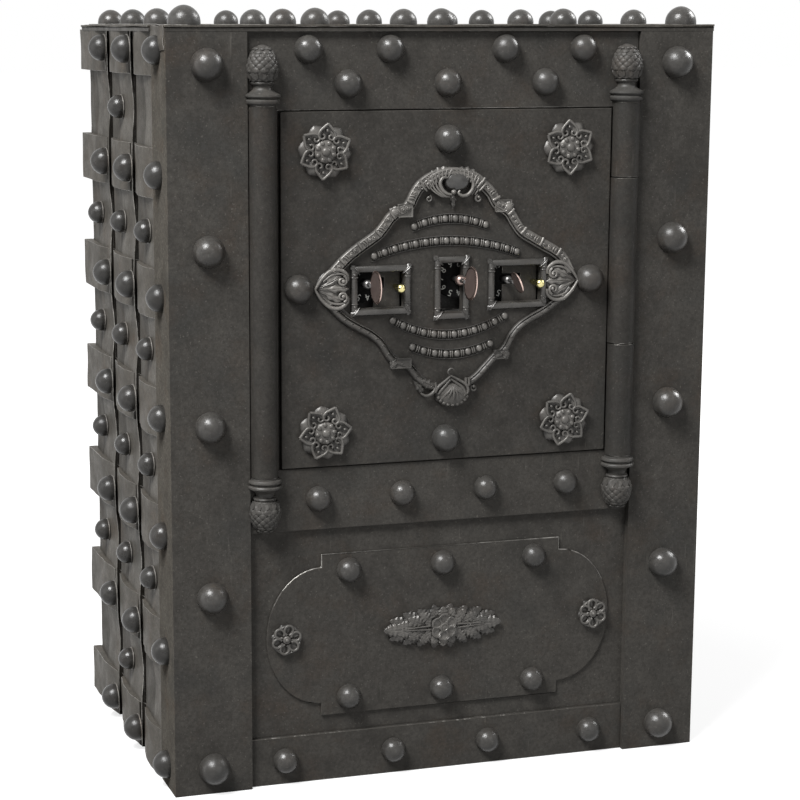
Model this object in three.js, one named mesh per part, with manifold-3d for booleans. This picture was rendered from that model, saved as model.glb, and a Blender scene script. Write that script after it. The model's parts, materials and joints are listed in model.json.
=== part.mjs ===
// Iron strongbox: a plated chest in a lattice of riveted straps, with a cartouche door,
// a columned hinge and a lock of three thumb turns.
// Millimetres. X runs to the right, Y into the depth and Z up.
// The origin is the middle of the flat underside.
import * as THREE from 'three';
import { mergeVertices } from 'three/addons/utils/BufferGeometryUtils.js';
import Module from 'manifold-3d';

const wasm = await Module();
wasm.setup();

// Carcass
const width = 520;
const depth = 360;
const height = 695;
const seat = 0.3;
const plate = 5;
const floorPlate = 6;
const lidPlate = 4;

// Front, from the top down: head strap, doorway, sill strap, lower panel and foot strap
const headHeight = 75;
const doorwayHeight = 321;
const sillHeight = 58;
const footTop = 46;
const frontHalf = 187;
const strapRecess = 4;
const footRecess = 5;
const headRowHigh = 53;
const headRowLow = 23;
const headStudSpread = [-131, -55, 55, 131];
const headLowSpread = [-94, 0, 94];
const sillStudSpread = [-122, -41, 41, 122];
const footStudSpread = [-154, -48, 47, 152];

// Corner irons: they take what the straps leave of the front
const ironFlange = 54;
const ironLeaf = 8;
const ironWall = 6;
const ironStudLow = 24;
const ironStudHigh = 35;
const ironStudPitch = 156.5;
const flangeStudDepth = 30;

// Strap lattice on the sides, back and top
const strapThick = 4;
const bandThick = 5;
const lidStrapThick = 3;
const lidBandThick = 3;
const bandWidth = 45;
const bandCount = 7;
const latticeBite = 0.5;
const sideStraps = 3;
const sideStrapGap = 8;
const sideStrapStart = 43;
const sideStrapEnd = 10;
const crossStrapCount = 4;
const crossStrapGap = 8;
const crossStrapInset = 17.7;
const crossStudInset = 16.1;
const lidBandCount = 4;

// Relief plate on the lower panel
const reliefHalfWidth = 118.5;
const reliefFootGap = 16.5;
const reliefSillGap = 24;
const reliefStep = 12;
const reliefLobe = 52.5;
const reliefRecess = 6;
const reliefStudX = 92;
const reliefStudInset = 16.5;

// Hinge column and its fixed twin
const columnRadius = 12.5;
const columnGap = 1;
const columnSlotLap = 2;
const pinRadius = 5;
const pinPlay = 0.5;
const knuckleGap = 0.6;
const lowKnuckle = 102.5;
const highKnuckle = 64;
const pinEnd = 1;
const columnSides = 16;

// Door
const doorRecess = 2;
const doorGap = 0.8;
const hingeGap = 0.5;
const latchGap = 4;
const doorStudLeft = 16;
const doorStudRight = 19.5;
const doorStudTop = 26;
const doorStudBottom = 20;
const doorStudRise = 3;
const plugDepth = 42;
const plugRightInset = 12.5;
const plugLeftInset = 9;
const plugLap = 9.5;
const plugWall = 6;
const coverPlate = 4;
const frameGap = 4;
const frameLeftGap = 6.5;
const frameBar = 30;
const frameDepth = 38;

// Lock windows, thumb turns and shutters, from left to right, measured from the door's middle
const windowBar = 6.5;
const windowSizes = [
  { name: 'left', x: [-93.75, -36.75], z: [-23, 22.5] },
  { name: 'centre', x: [-14.25, 19.75], z: [-29.5, 28.5] },
  { name: 'right', x: [38.25, 96.75], z: [-22, 24] },
];
const turnSizes = [
  { name: 'left', x: -78.95, z: 5.7, boss: 4.2, disc: 15, reach: 24, tilt: 0, forward: 2 },
  { name: 'centre', x: 9.15, z: 6.7, boss: 4.8, disc: 15.2, reach: 27, tilt: 5, forward: 4 },
  { name: 'right', x: 56.85, z: 5.1, boss: 4, disc: 10.3, reach: 22.5, tilt: -22, forward: 2 },
];
const spindleRadius = 3;
const spindlePlay = 0.5;
const discThick = 3.4;
const neckRadius = 2.3;
const neckBite = 2;
const spindleTail = 3;
const dialRadius = 18;
const dialThick = 3.5;
const dialHubRadius = 6;
const shutterThick = 1.8;
const shutterPlay = 0.5;
const shutterSlotClear = 2;
const shutterSizes = [
  { name: 'left', x: [-69.75, -44.75], knobX: -49.75, slot: 10, ballReach: 14 },
  { name: 'right', x: [55.25, 89.25], knobX: 84.35, slot: 18, ballReach: 16.5 },
];
const knobRise = 2;
const knobBall = 4.25;
const knobStem = 1.8;
const knobFoot = 2.6;
const knobFootTall = 3;
const caseSide = [-102.75, 104.25];
const caseRise = [-25.5, 30.5];
const caseWall = 3;
const caseDepth = 14;

// Bolt work behind the lock case
const boltSpacing = 110;
const boltRise = 0.5;
const boltHeight = 22;
const boltThick = 14;
const boltThrow = 14;
const boltPlay = 0.4;
const boltTip = 0.6;
const boltBack = 7;
const channelClear = 1;
const barWidth = 10;
const barClear = 2;
const barOverlap = 10;
const pinionTeeth = 10;
const pinionPitch = 8;
const pinionInset = 3;
const toothOut = 1.2;
const toothIn = 1.8;
const toothRootShare = 0.223;
const toothTipShare = 0.108;
const rackHeight = 10;
const rackReach = 59;
const rackTeethBefore = 2;
const rackTeeth = 8;
const guideReach = 31;
const guideWidth = 12;
const guideLip = 5;

// Chest inside
const chestWall = 3;
const chestRear = 30;
const chestClear = 1.5;
const chestSide = 4;
const shelfRise = 148.2;
const shelfThick = 3;
const shelfFront = 36;
const ledge = 6;

// Studs: diameter, height and number of sides
const largeStud = { across: 31, tall: 18, sides: 8 };
const faceStud = { across: 27, tall: 15, sides: 8 };
const doorStud = { across: 28, tall: 16, sides: 8 };
const smallStud = { across: 25, tall: 14, sides: 8 };
const sideStud = { across: 27, tall: 15, sides: 8 };
const midStud = { across: 23, tall: 13, sides: 8 };
const studRoot = 1;

// Cast ornament
const rosetteRadius = 25;
const rosetteSheet = 3;
const rosetteBoss = 9;
const rosettePetals = 12;
const smallRosette = 16.5;
const smallPetals = 6;
const rosetteX = 117;
const upperRosetteInset = 35;
const lowerRosetteInset = 32;
const panelRosetteX = 153;
const sprayHalfWidth = 59.5;
const sprayShare = 0.466;
const sprayThick = 3;
const sprayFlower = 12.5;
const cartoucheBand = 9;
const cartoucheThick = 5;
const cartoucheShift = -0.75;
const cartoucheRise = 2;
const cartoucheSideGap = 33.25;
const cartoucheEndGap = 48.7;
const cartoucheDrop = 3;
const shell = { across: 17, rise: 15 };
const palmette = { across: 13, rise: 18 };
const cornerBlock = { across: 17, rise: 11 };
const reliefRise = 3;

// How far a cutting shape reaches past the metal
const cut = 1;

// Values that follow from the sizes above
const halfWidth = width / 2;
const halfDepth = depth / 2;
const ironFace = halfWidth - frontHalf;
const headBottom = height - headHeight;
const sillTop = headBottom - doorwayHeight;
const sillBottom = sillTop - sillHeight;
const reliefBottom = footTop + reliefFootGap;
const reliefTop = sillBottom - reliefSillGap;
const reliefMiddle = (reliefBottom + reliefTop) / 2;
const columnX = frontHalf - columnRadius - columnGap;
const doorKnuckleBottom = sillTop + lowKnuckle;
const doorKnuckleTop = headBottom - highKnuckle;
const ironTop = height - lidStrapThick - lidBandThick - seat;
const wallX = halfWidth - ironWall - seat;
const frontPlateY = -halfDepth + ironLeaf + seat;
const backPlateY = halfDepth - strapThick - bandThick - seat;
const wallTop = ironTop - lidPlate - seat;
const bandPitch = (height - bandWidth) / (bandCount - 1);
const bandHeights = Array.from({ length: bandCount }, (_, k) => bandWidth / 2 + k * bandPitch);
const sidePitch = (depth - sideStrapStart - sideStrapEnd + sideStrapGap) / sideStraps;
const sideStrapWidth = sidePitch - sideStrapGap;
const crossPitch = (2 * (wallX - crossStrapInset) + crossStrapGap) / crossStrapCount;
const crossStrapWidth = crossPitch - crossStrapGap;
const crossStudPitch = (wallX - crossStudInset) / 2;
const crossColumns = [-2, -1, 0, 1, 2].map((k) => k * crossStudPitch);
const strapHalf = frontHalf - seat;
const doorLeft = -columnX + columnRadius + latchGap;
const doorRight = columnX - columnRadius - hingeGap;
const doorBottom = sillTop + doorGap;
const doorTop = headBottom - doorGap;
const doorFrontY = -halfDepth + doorRecess;
const doorBackY = -halfDepth + ironLeaf;
const doorX = (doorLeft + doorRight) / 2;
const doorZ = (doorBottom + doorTop) / 2;
const plugX = [doorLeft + plugLeftInset, doorRight - plugRightInset];
const plugZ = [doorBottom + plugLap, doorTop - plugLap];
const plugBackY = doorBackY + plugDepth;
const openingX = [plugX[0] - frameLeftGap, plugX[1] + frameGap];
const openingZ = [plugZ[0] - frameGap, plugZ[1] + frameGap];
const frameFrontY = frontPlateY + plate + seat;
const frameBackY = frameFrontY + frameDepth;
const shutterBackY = doorBackY + shutterPlay + shutterThick;
const dialFrontY = shutterBackY + shutterPlay;
const caseBackY = doorBackY + caseDepth;
const fromDoorX = (pair) => pair.map((value) => value + doorX);
const fromDoorZ = (pair) => pair.map((value) => value + doorZ);
const windows = windowSizes.map((one) => ({ ...one, x: fromDoorX(one.x), z: fromDoorZ(one.z) }));
const turns = turnSizes.map((one) => ({ ...one, x: one.x + doorX, z: one.z + doorZ }));
const shutters = shutterSizes.map((one) => ({ ...one, x: fromDoorX(one.x), knobX: one.knobX + doorX }));
const caseX = fromDoorX(caseSide);
const caseZ = fromDoorZ(caseRise);
const boltZ = [-1, 0, 1].map((k) => doorZ + boltRise + k * boltSpacing);
const boltY = [plugBackY - coverPlate - boltBack - boltThick, plugBackY - coverPlate - boltBack];
const rackPitchZ = turns[1].z + pinionPitch;
const toothPitch = (2 * Math.PI * pinionPitch) / pinionTeeth;
const chestFloor = openingZ[0] + chestClear;
const shelfZ = chestFloor + shelfRise;
const cartouche = {
  x: doorX + cartoucheShift,
  z: doorZ + cartoucheRise,
  halfWidth: (doorRight - doorLeft) / 2 - cartoucheSideGap,
  halfHeight: (doorTop - doorBottom) / 2 - cartoucheEndGap,
};

const finishes = {
  plate: { color: 0x3d3b39, roughness: 0.55, metalness: 0.55 },
  strap: { color: 0x4a4743, roughness: 0.6, metalness: 0.5 },
  casting: { color: 0x45433f, roughness: 0.45, metalness: 0.6 },
  inner: { color: 0x33312f, roughness: 0.7, metalness: 0.4 },
  oak: { color: 0x7a5f42, roughness: 0.85, metalness: 0 },
  steel: { color: 0x8d8a86, roughness: 0.35, metalness: 0.9 },
  turn: { color: 0x9c8078, roughness: 0.3, metalness: 0.85 },
  dial: { color: 0x2a2826, roughness: 0.5, metalness: 0.6 },
  brass: { color: 0xb9a25a, roughness: 0.3, metalness: 0.9 },
};

const strongbox = new THREE.Group();

// Each face has its own across, up and outward directions
const right = new THREE.Vector3(1, 0, 0);
const inward = new THREE.Vector3(0, 1, 0);
const up = new THREE.Vector3(0, 0, 1);
const left = right.clone().negate();
const outward = inward.clone().negate();
const faces = {
  front: new THREE.Matrix4().makeBasis(right, up, outward),
  back: new THREE.Matrix4().makeBasis(left, up, inward),
  left: new THREE.Matrix4().makeBasis(outward, up, left),
  right: new THREE.Matrix4().makeBasis(inward, up, right),
  top: new THREE.Matrix4().makeBasis(right, inward, up),
};

function solidOf(geometry) {
  const bare = geometry.clone();
  bare.deleteAttribute('normal');
  bare.deleteAttribute('uv');
  const merged = mergeVertices(bare, 1e-4);
  const corners = merged.index.array;
  const triangles = [];
  for (let k = 0; k < corners.length; k += 3) {
    const [a, b, c] = corners.slice(k, k + 3);
    if (a !== b && b !== c && c !== a) triangles.push(a, b, c);
  }
  return new wasm.Manifold(new wasm.Mesh({
    numProp: 3,
    vertProperties: merged.attributes.position.array,
    triVerts: new Uint32Array(triangles),
  }));
}

function addPart(name, solid, finish) {
  const mesh = solid.getMesh();
  const geometry = new THREE.BufferGeometry();
  geometry.setAttribute('position', new THREE.BufferAttribute(mesh.vertProperties, 3));
  geometry.setIndex(new THREE.BufferAttribute(mesh.triVerts, 1));
  const part = new THREE.Mesh(geometry, new THREE.MeshStandardMaterial(finishes[finish]));
  part.name = name;
  strongbox.add(part);
}

// A box between two corners, given as [low, high] along each direction
function box(x, y, z) {
  const geometry = new THREE.BoxGeometry(x[1] - x[0], y[1] - y[0], z[1] - z[0]);
  geometry.translate((x[0] + x[1]) / 2, (y[0] + y[1]) / 2, (z[0] + z[1]) / 2);
  return solidOf(geometry);
}

// A turned shape whose profile is [radius, height] pairs from axis to axis, standing along Z
function turned(profile, sides) {
  const points = profile.map(([radius, along]) => new THREE.Vector2(radius, along));
  const geometry = new THREE.LatheGeometry(points, sides);
  geometry.rotateX(Math.PI / 2);
  return geometry;
}

function rod(radius, low, high, sides) {
  return turned([[0, low], [radius, low], [radius, high], [0, high]], sides);
}

// Moves a shape, drawn across, up and outward, to its place on a face
function onFace(geometry, face, across, rise, out) {
  geometry.translate(across, rise, out);
  geometry.applyMatrix4(faces[face]);
  return solidOf(geometry);
}

// A flat outline on the front, thickened forward from backY
function frontOutline(shape, thick, backY, curveSegments = 12) {
  const geometry = new THREE.ExtrudeGeometry(shape, { depth: thick, bevelEnabled: false, curveSegments });
  return onFace(geometry, 'front', 0, 0, -backY);
}

function domeProfile(radius, tall, root) {
  return [[0, -root], [radius, -root], [radius, 0.32 * tall], [0.7 * radius, 0.82 * tall], [0, tall]];
}

function lowDomeProfile(radius, tall, root) {
  return [[0, -root], [0.94 * radius, -root], [0.8 * radius, 0.68 * tall], [0, tall]];
}

// A rivet head with its root inside the metal it holds
function stud(size, face, across, rise, out, profile = domeProfile) {
  const geometry = turned(profile(size.across / 2, size.tall, studRoot), size.sides);
  return onFace(geometry, face, across, rise, out);
}

function withStuds(solid, size, face, places, out, profile) {
  return places.reduce((sum, [across, rise]) => sum.add(stud(size, face, across, rise, out, profile)), solid);
}

// Shell plates
function addShell() {
  const sideY = [frontPlateY + plate + seat, backPlateY - plate - seat];
  const wallZ = [floorPlate + seat, wallTop];
  const body = [-wallX, wallX];
  addPart('bottom_plate', box(body, [frontPlateY, backPlateY], [0, floorPlate]), 'plate');
  addPart('top_plate', box(body, [frontPlateY, backPlateY], [ironTop - lidPlate, ironTop]), 'plate');
  addPart('back_plate', box(body, [backPlateY - plate, backPlateY], wallZ), 'plate');
  addPart('left_side_plate', box([-wallX, -wallX + plate], sideY, wallZ), 'plate');
  addPart('right_side_plate', box([wallX - plate, wallX], sideY, wallZ), 'plate');
}

// The front plate has the door opening and the slot that the hinge column sits in
function addFrontPlate() {
  const through = [frontPlateY - cut, frontPlateY + plate + cut];
  const whole = box([-wallX, wallX], [frontPlateY, frontPlateY + plate], [floorPlate + seat, wallTop]);
  const slotHalf = columnRadius - columnSlotLap;
  const slot = box([columnX - slotHalf, columnX + slotHalf], through, [sillTop, headBottom]);
  addPart('front_plate', whole.subtract(box(openingX, through, openingZ)).subtract(slot), 'plate');
}

// The doorway's frame is one piece above, below and on the hinge side. On the latch side it is two
// bars, with a channel between them for the bolts.
function addDoorFrame() {
  const y = [frameFrontY, frameBackY];
  const outerX = [openingX[0] - frameBar, openingX[1] + frameBar];
  const outerZ = [openingZ[0] - frameBar, openingZ[1] + frameBar];
  const open = box([outerX[0] - cut, openingX[1]], [y[0] - cut, y[1] + cut], openingZ);
  addPart('door_frame', box(outerX, y, outerZ).subtract(open), 'inner');
  const barX = [outerX[0], openingX[0]];
  const barZ = [openingZ[0] + seat, openingZ[1] - seat];
  addPart('latch_bar_front', box(barX, [y[0], boltY[0] - channelClear], barZ), 'inner');
  addPart('latch_bar_back', box(barX, [boltY[1] + channelClear, y[1]], barZ), 'inner');
}

function chestBox(grow) {
  const x = [openingX[0] + chestSide - grow, openingX[1] - chestSide + grow];
  const z = [chestFloor - grow, openingZ[1] - chestClear + grow];
  const y = [frameBackY + seat, backPlateY - plate - chestRear + grow];
  return { x, y, z };
}

// The inner chest, open to the front, with a ledge for the shelf along each side
function addChest() {
  const inner = chestBox(0);
  const outer = chestBox(chestWall);
  let chest = box(outer.x, outer.y, outer.z);
  chest = chest.subtract(box(inner.x, [inner.y[0] - cut, inner.y[1]], inner.z));
  const ledgeY = [inner.y[0] + shelfFront, inner.y[1] + chestWall / 2];
  const ledgeZ = [shelfZ - shelfThick, shelfZ];
  chest = chest.add(box([inner.x[0] - chestWall / 2, inner.x[0] + ledge], ledgeY, ledgeZ));
  chest = chest.add(box([inner.x[1] - ledge, inner.x[1] + chestWall / 2], ledgeY, ledgeZ));
  addPart('inner_chest', chest, 'inner');
  const shelfX = [inner.x[0] + seat, inner.x[1] - seat];
  const shelfY = [inner.y[0] + shelfFront, inner.y[1] - seat];
  addPart('shelf', box(shelfX, shelfY, [shelfZ + seat, shelfZ + seat + shelfThick]), 'steel');
}

// Oak between the outer plates and the chest: the nails of the lattice clench in it
function addCore() {
  const side = wallX - plate - seat;
  const whole = box([-side, side], [frameFrontY, backPlateY - plate - seat], [floorPlate + seat, wallTop]);
  const room = frameBar + seat;
  const frameRoom = box(
    [openingX[0] - room, openingX[1] + room],
    [frameFrontY - cut, frameBackY + seat],
    [openingZ[0] - room, openingZ[1] + room],
  );
  const chest = chestBox(chestWall + seat);
  const chestRoom = box(chest.x, [frameBackY - cut, chest.y[1]], chest.z);
  addPart('oak_core', whole.subtract(frameRoom).subtract(chestRoom), 'oak');
}

// A corner iron folds round a front edge: side -1 is the left one and side 1 the right one
function addCornerIron(side) {
  const face = side < 0 ? 'left' : 'right';
  const faceX = [side * halfWidth, side * (halfWidth - ironFace)].sort((a, b) => a - b);
  const flangeX = [side * halfWidth, side * (halfWidth - ironWall)].sort((a, b) => a - b);
  let iron = box(faceX, [-halfDepth, -halfDepth + ironLeaf], [0, ironTop]);
  iron = iron.add(box(flangeX, [-halfDepth, -halfDepth + ironFlange], [0, ironTop]));
  const ends = [ironStudLow, height - ironStudHigh];
  const middle = (ends[0] + ends[1]) / 2;
  const rows = [ends[0], middle - ironStudPitch, middle, middle + ironStudPitch, ends[1]];
  const frontRows = rows.map((z) => [side * (halfWidth - ironFace / 2), z]);
  iron = withStuds(iron, largeStud, 'front', frontRows, halfDepth);
  const sideRows = bandHeights.map((z) => [side * (flangeStudDepth - halfDepth), z]);
  iron = withStuds(iron, sideStud, face, sideRows, halfWidth, lowDomeProfile);
  addPart(`${face}_corner_iron`, iron, 'strap');
}

// Straps run up and down, bands run across over them, and the studs hold both
function lattice(straps, strapRange, bands, thick, face, out) {
  const boxes = [];
  for (const [low, high] of straps) {
    boxes.push(new THREE.Box3(
      new THREE.Vector3(low, strapRange[0], 0),
      new THREE.Vector3(high, strapRange[1], thick.strap),
    ));
  }
  for (const band of bands) {
    boxes.push(new THREE.Box3(
      new THREE.Vector3(band.across[0], band.up[0], thick.strap - latticeBite),
      new THREE.Vector3(band.across[1], band.up[1], thick.strap + thick.band),
    ));
  }
  const solids = boxes.map((bounds) => {
    const size = bounds.getSize(new THREE.Vector3());
    const middle = bounds.getCenter(new THREE.Vector3());
    const geometry = new THREE.BoxGeometry(size.x, size.y, size.z);
    return onFace(geometry, face, middle.x, middle.y, middle.z + out);
  });
  return solids.reduce((sum, solid) => sum.add(solid));
}

function bandRows(across, centres) {
  return centres.map((centre) => ({ across, up: [centre - bandWidth / 2, centre + bandWidth / 2] }));
}

function addSideLattice(side) {
  const face = side < 0 ? 'left' : 'right';
  const place = (fromFront) => side * (fromFront - halfDepth);
  const ordered = (a, b) => [place(a), place(b)].sort((low, high) => low - high);
  const start = ironFlange + seat;
  const starts = Array.from({ length: sideStraps }, (_, k) => sideStrapStart + k * sidePitch);
  const straps = starts.map((low) => ordered(Math.max(low, start), low + sideStrapWidth));
  const bands = bandRows(ordered(start, depth), bandHeights);
  const out = halfWidth - ironWall;
  let solid = lattice(straps, [0, height], bands, { strap: strapThick, band: bandThick }, face, out);
  const columns = [1, 2].map((k) => sideStrapStart + k * sidePitch - sideStrapGap / 2);
  const bandStuds = bandHeights.flatMap((z) => columns.map((column) => [place(column), z]));
  solid = withStuds(solid, sideStud, face, bandStuds, out + strapThick + bandThick, lowDomeProfile);
  const middles = starts.map((low) => low + sideStrapWidth / 2);
  const strapStuds = bandHeights.slice(0, -1).flatMap((z, row) => {
    const full = row > 0 && row < bandCount - 2;
    return (full ? middles : [middles[1]]).map((column) => [place(column), z + bandPitch / 2]);
  });
  solid = withStuds(solid, midStud, face, strapStuds, out + strapThick, lowDomeProfile);
  addPart(`${face}_lattice`, solid, 'strap');
}

function crossStraps() {
  const first = crossStrapInset - wallX;
  return Array.from({ length: crossStrapCount }, (_, k) => {
    const low = first + k * crossPitch;
    return [low, low + crossStrapWidth];
  });
}

function addBackLattice() {
  const bands = bandRows([-wallX, wallX], bandHeights);
  const thick = { strap: strapThick, band: bandThick };
  const out = backPlateY + seat;
  let solid = lattice(crossStraps(), [0, height], bands, thick, 'back', out);
  const places = bandHeights.flatMap((z) => crossColumns.map((x) => [x, z]));
  solid = withStuds(solid, sideStud, 'back', places, out + strapThick + bandThick, lowDomeProfile);
  addPart('back_lattice', solid, 'strap');
}

function addTopLattice() {
  const rear = backPlateY;
  const pitch = (rear + halfDepth - bandWidth) / (lidBandCount - 1);
  const centres = Array.from({ length: lidBandCount }, (_, k) => -halfDepth + bandWidth / 2 + k * pitch);
  const bands = bandRows([-wallX, wallX], centres);
  bands[0].across = [-halfWidth, halfWidth];
  const thick = { strap: lidStrapThick, band: lidBandThick };
  const out = ironTop + seat;
  let solid = lattice(crossStraps(), [-halfDepth, rear], bands, thick, 'top', out);
  const places = centres.flatMap((y) => crossColumns.map((x) => [x, y]));
  const corner = ([x, y]) => Math.abs(x) > 1.5 * crossPitch && y === centres[0];
  const outer = out + lidStrapThick + lidBandThick;
  solid = withStuds(solid, sideStud, 'top', places.filter((place) => !corner(place)), outer, lowDomeProfile);
  solid = withStuds(solid, largeStud, 'top', places.filter(corner), outer);
  addPart('top_lattice', solid, 'strap');
}

function addFrontStraps() {
  const x = [-strapHalf, strapHalf];
  const strapY = [-halfDepth + strapRecess, -halfDepth + ironLeaf];
  const out = halfDepth - strapRecess;
  const highStuds = headStudSpread.map((across) => [across, headBottom + headRowHigh]);
  const lowStuds = headLowSpread.map((across) => [across, headBottom + headRowLow]);
  const head = box(x, strapY, [headBottom, ironTop]);
  addPart('head_strap', withStuds(head, faceStud, 'front', [...highStuds, ...lowStuds], out), 'plate');
  const sillStuds = sillStudSpread.map((across) => [across, (sillTop + sillBottom) / 2]);
  const sill = box(x, strapY, [sillBottom, sillTop]);
  addPart('sill_strap', withStuds(sill, smallStud, 'front', sillStuds, out), 'plate');
  const footStuds = footStudSpread.map((across) => [across, footTop / 2]);
  const foot = box(x, [-halfDepth + footRecess, -halfDepth + ironLeaf], [0, footTop]);
  addPart('foot_strap', withStuds(foot, smallStud, 'front', footStuds, halfDepth - footRecess), 'plate');
}

// The relief plate is a rectangle with a rounded lobe at each end
function addReliefPlate() {
  const lobeHigh = (reliefTop - reliefBottom) / 2 - reliefStep;
  const shape = new THREE.Shape();
  shape.moveTo(-reliefHalfWidth, reliefBottom);
  shape.lineTo(reliefHalfWidth, reliefBottom);
  shape.lineTo(reliefHalfWidth, reliefMiddle - lobeHigh);
  shape.absellipse(reliefHalfWidth, reliefMiddle, reliefLobe, lobeHigh, -Math.PI / 2, Math.PI / 2);
  shape.lineTo(reliefHalfWidth, reliefTop);
  shape.lineTo(-reliefHalfWidth, reliefTop);
  shape.lineTo(-reliefHalfWidth, reliefMiddle + lobeHigh);
  shape.absellipse(-reliefHalfWidth, reliefMiddle, reliefLobe, lobeHigh, Math.PI / 2, 1.5 * Math.PI);
  const thick = ironLeaf - reliefRecess;
  const rows = [reliefBottom + reliefStudInset, reliefTop - reliefStudInset];
  const places = rows.flatMap((z) => [-reliefStudX, 0, reliefStudX].map((x) => [x, z]));
  const solid = frontOutline(shape, thick, -halfDepth + ironLeaf);
  const out = halfDepth - reliefRecess;
  addPart('lower_relief_plate', withStuds(solid, smallStud, 'front', places, out), 'plate');
}

// A rosette is a sheet of pointed petals with a round boss
function rosette(radius, petals, notch, sheet, boss, bossTall) {
  const points = Array.from({ length: 2 * petals }, (_, k) => {
    const reach = k % 2 ? radius * notch : radius;
    const angle = (k * Math.PI) / petals;
    return new THREE.Vector2(reach * Math.sin(angle), reach * Math.cos(angle));
  }).reverse();
  const shape = new THREE.Shape(points);
  const sheetBody = new THREE.ExtrudeGeometry(shape, { depth: sheet, bevelEnabled: false });
  const dome = turned(domeProfile(boss, bossTall, -sheet / 2), 12);
  return { sheetBody, dome };
}

function addRosette(name, x, z, backY, radius, petals, notch) {
  const { sheetBody, dome } = rosette(radius, petals, notch, rosetteSheet, radius * 0.4, rosetteBoss);
  const sheet = onFace(sheetBody, 'front', x, z, -backY);
  addPart(name, sheet.add(onFace(dome, 'front', x, z, -backY)), 'casting');
}

function addRosettes() {
  const rows = { lower: doorBottom + lowerRosetteInset, upper: doorTop - upperRosetteInset };
  for (const [row, z] of Object.entries(rows)) {
    addRosette(`${row}_left_rosette`, -rosetteX, z, doorFrontY - seat, rosetteRadius, rosettePetals, 0.8);
    addRosette(`${row}_right_rosette`, rosetteX, z, doorFrontY - seat, rosetteRadius, rosettePetals, 0.8);
  }
  const reliefFrontY = -halfDepth + reliefRecess - seat;
  for (const [side, x] of [['left', -panelRosetteX], ['right', panelRosetteX]]) {
    addRosette(`panel_${side}_rosette`, x, reliefMiddle, reliefFrontY, smallRosette, smallPetals, 0.88);
  }
}

// The leaf spray narrows to a point at each end, with a leafy edge and a flower in the middle
function addLeafSpray() {
  const leaves = 28;
  const room = reliefTop - reliefMiddle - reliefStudInset - smallStud.across / 2;
  const halfHeight = sprayShare * room;
  const points = Array.from({ length: 2 * leaves }, (_, k) => {
    const angle = (k * Math.PI) / leaves;
    const edge = k % 2 ? 0.9 : 1;
    const across = Math.sign(Math.cos(angle)) * Math.abs(Math.cos(angle)) ** 1.1;
    const rise = Math.sign(Math.sin(angle)) * Math.abs(Math.sin(angle)) ** 1.35;
    return new THREE.Vector2(sprayHalfWidth * across * edge, halfHeight * rise * edge);
  });
  const out = halfDepth - reliefRecess + seat;
  const sheet = new THREE.ExtrudeGeometry(new THREE.Shape(points), { depth: sprayThick, bevelEnabled: false });
  const flower = turned(domeProfile(sprayFlower, rosetteBoss, -sprayThick / 2), 12);
  const spray = onFace(sheet, 'front', 0, reliefMiddle, out).add(onFace(flower, 'front', 0, reliefMiddle, out));
  addPart('leaf_spray', spray, 'casting');
}

// Pineapple finial with its neck and two rings, from its foot at zero, in radii of the column
function finialProfile() {
  const inRadii = [
    [0, 0], [1, 0], [1, 0.44], [1.28, 0.52], [1.28, 0.76], [1.14, 0.83], [1.25, 0.9], [1.25, 1.15],
    [0.72, 1.48], [0.7, 1.76], [0.82, 1.79], [0.82, 1.97], [0.99, 2.24], [1.14, 2.8], [1.06, 3.44],
    [0.82, 4.04], [0.5, 4.48], [0, 4.67],
  ];
  return inRadii.map((point) => point.map((value) => value * columnRadius));
}

// A finial lies on the strap and laps the corner iron, so its back is cut to both
function addFinial(name, x, z, direction) {
  const profile = finialProfile();
  const tall = profile.at(-1)[1];
  const geometry = turned(profile, columnSides);
  if (direction < 0) geometry.rotateX(Math.PI);
  geometry.translate(x, -halfDepth, z);
  const reach = [z - tall - cut, z + tall + cut];
  const backY = -halfDepth + 2 * columnRadius;
  const across = [x - 2 * columnRadius, x + 2 * columnRadius];
  const strap = box(across, [-halfDepth + strapRecess - seat, backY], reach);
  const ironX = [Math.sign(x) * strapHalf, Math.sign(x) * halfWidth].sort((a, b) => a - b);
  const iron = box(ironX, [-halfDepth - seat, backY], reach);
  addPart(name, solidOf(geometry).subtract(strap).subtract(iron), 'casting');
}

function addLeftColumn() {
  const geometry = rod(columnRadius, sillTop + seat, headBottom - seat, columnSides);
  geometry.translate(-columnX, -halfDepth, 0);
  const across = [-columnX - 2 * columnRadius, -columnX + 2 * columnRadius];
  const back = box(across, [-halfDepth + ironLeaf, -halfDepth + 2 * columnRadius], [0, height]);
  addPart('left_column', solidOf(geometry).subtract(back), 'casting');
}

// A knuckle is a bored length of the hinge column with a web to the iron or door that carries it
function addKnuckle(name, low, high, webX, finish) {
  const barrel = rod(columnRadius, low, high, columnSides);
  barrel.translate(columnX, -halfDepth, 0);
  const bore = rod(pinRadius + pinPlay, low - cut, high + cut, 16);
  bore.translate(columnX, -halfDepth, 0);
  const web = box(webX, [doorFrontY, doorBackY], [low, high]);
  addPart(name, solidOf(barrel).add(web).subtract(solidOf(bore)), finish);
}

function addHinge() {
  const fixedWeb = [columnX, frontHalf - seat];
  const half = knuckleGap / 2;
  addKnuckle('hinge_knuckle_bottom', sillTop + seat, doorKnuckleBottom - half, fixedWeb, 'casting');
  addKnuckle('hinge_knuckle_top', doorKnuckleTop + half, headBottom - seat, fixedWeb, 'casting');
  addKnuckle('door_knuckle', doorKnuckleBottom + half, doorKnuckleTop - half, [doorRight + seat, columnX], 'casting');
  const pin = rod(pinRadius, sillTop + pinEnd, headBottom - pinEnd, 16);
  pin.translate(columnX, -halfDepth, 0);
  addPart('hinge_pin', solidOf(pin), 'steel');
}

function windowOpening({ x, z }) {
  return { x: [x[0] + windowBar, x[1] - windowBar], z: [z[0] + windowBar, z[1] - windowBar] };
}

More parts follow.
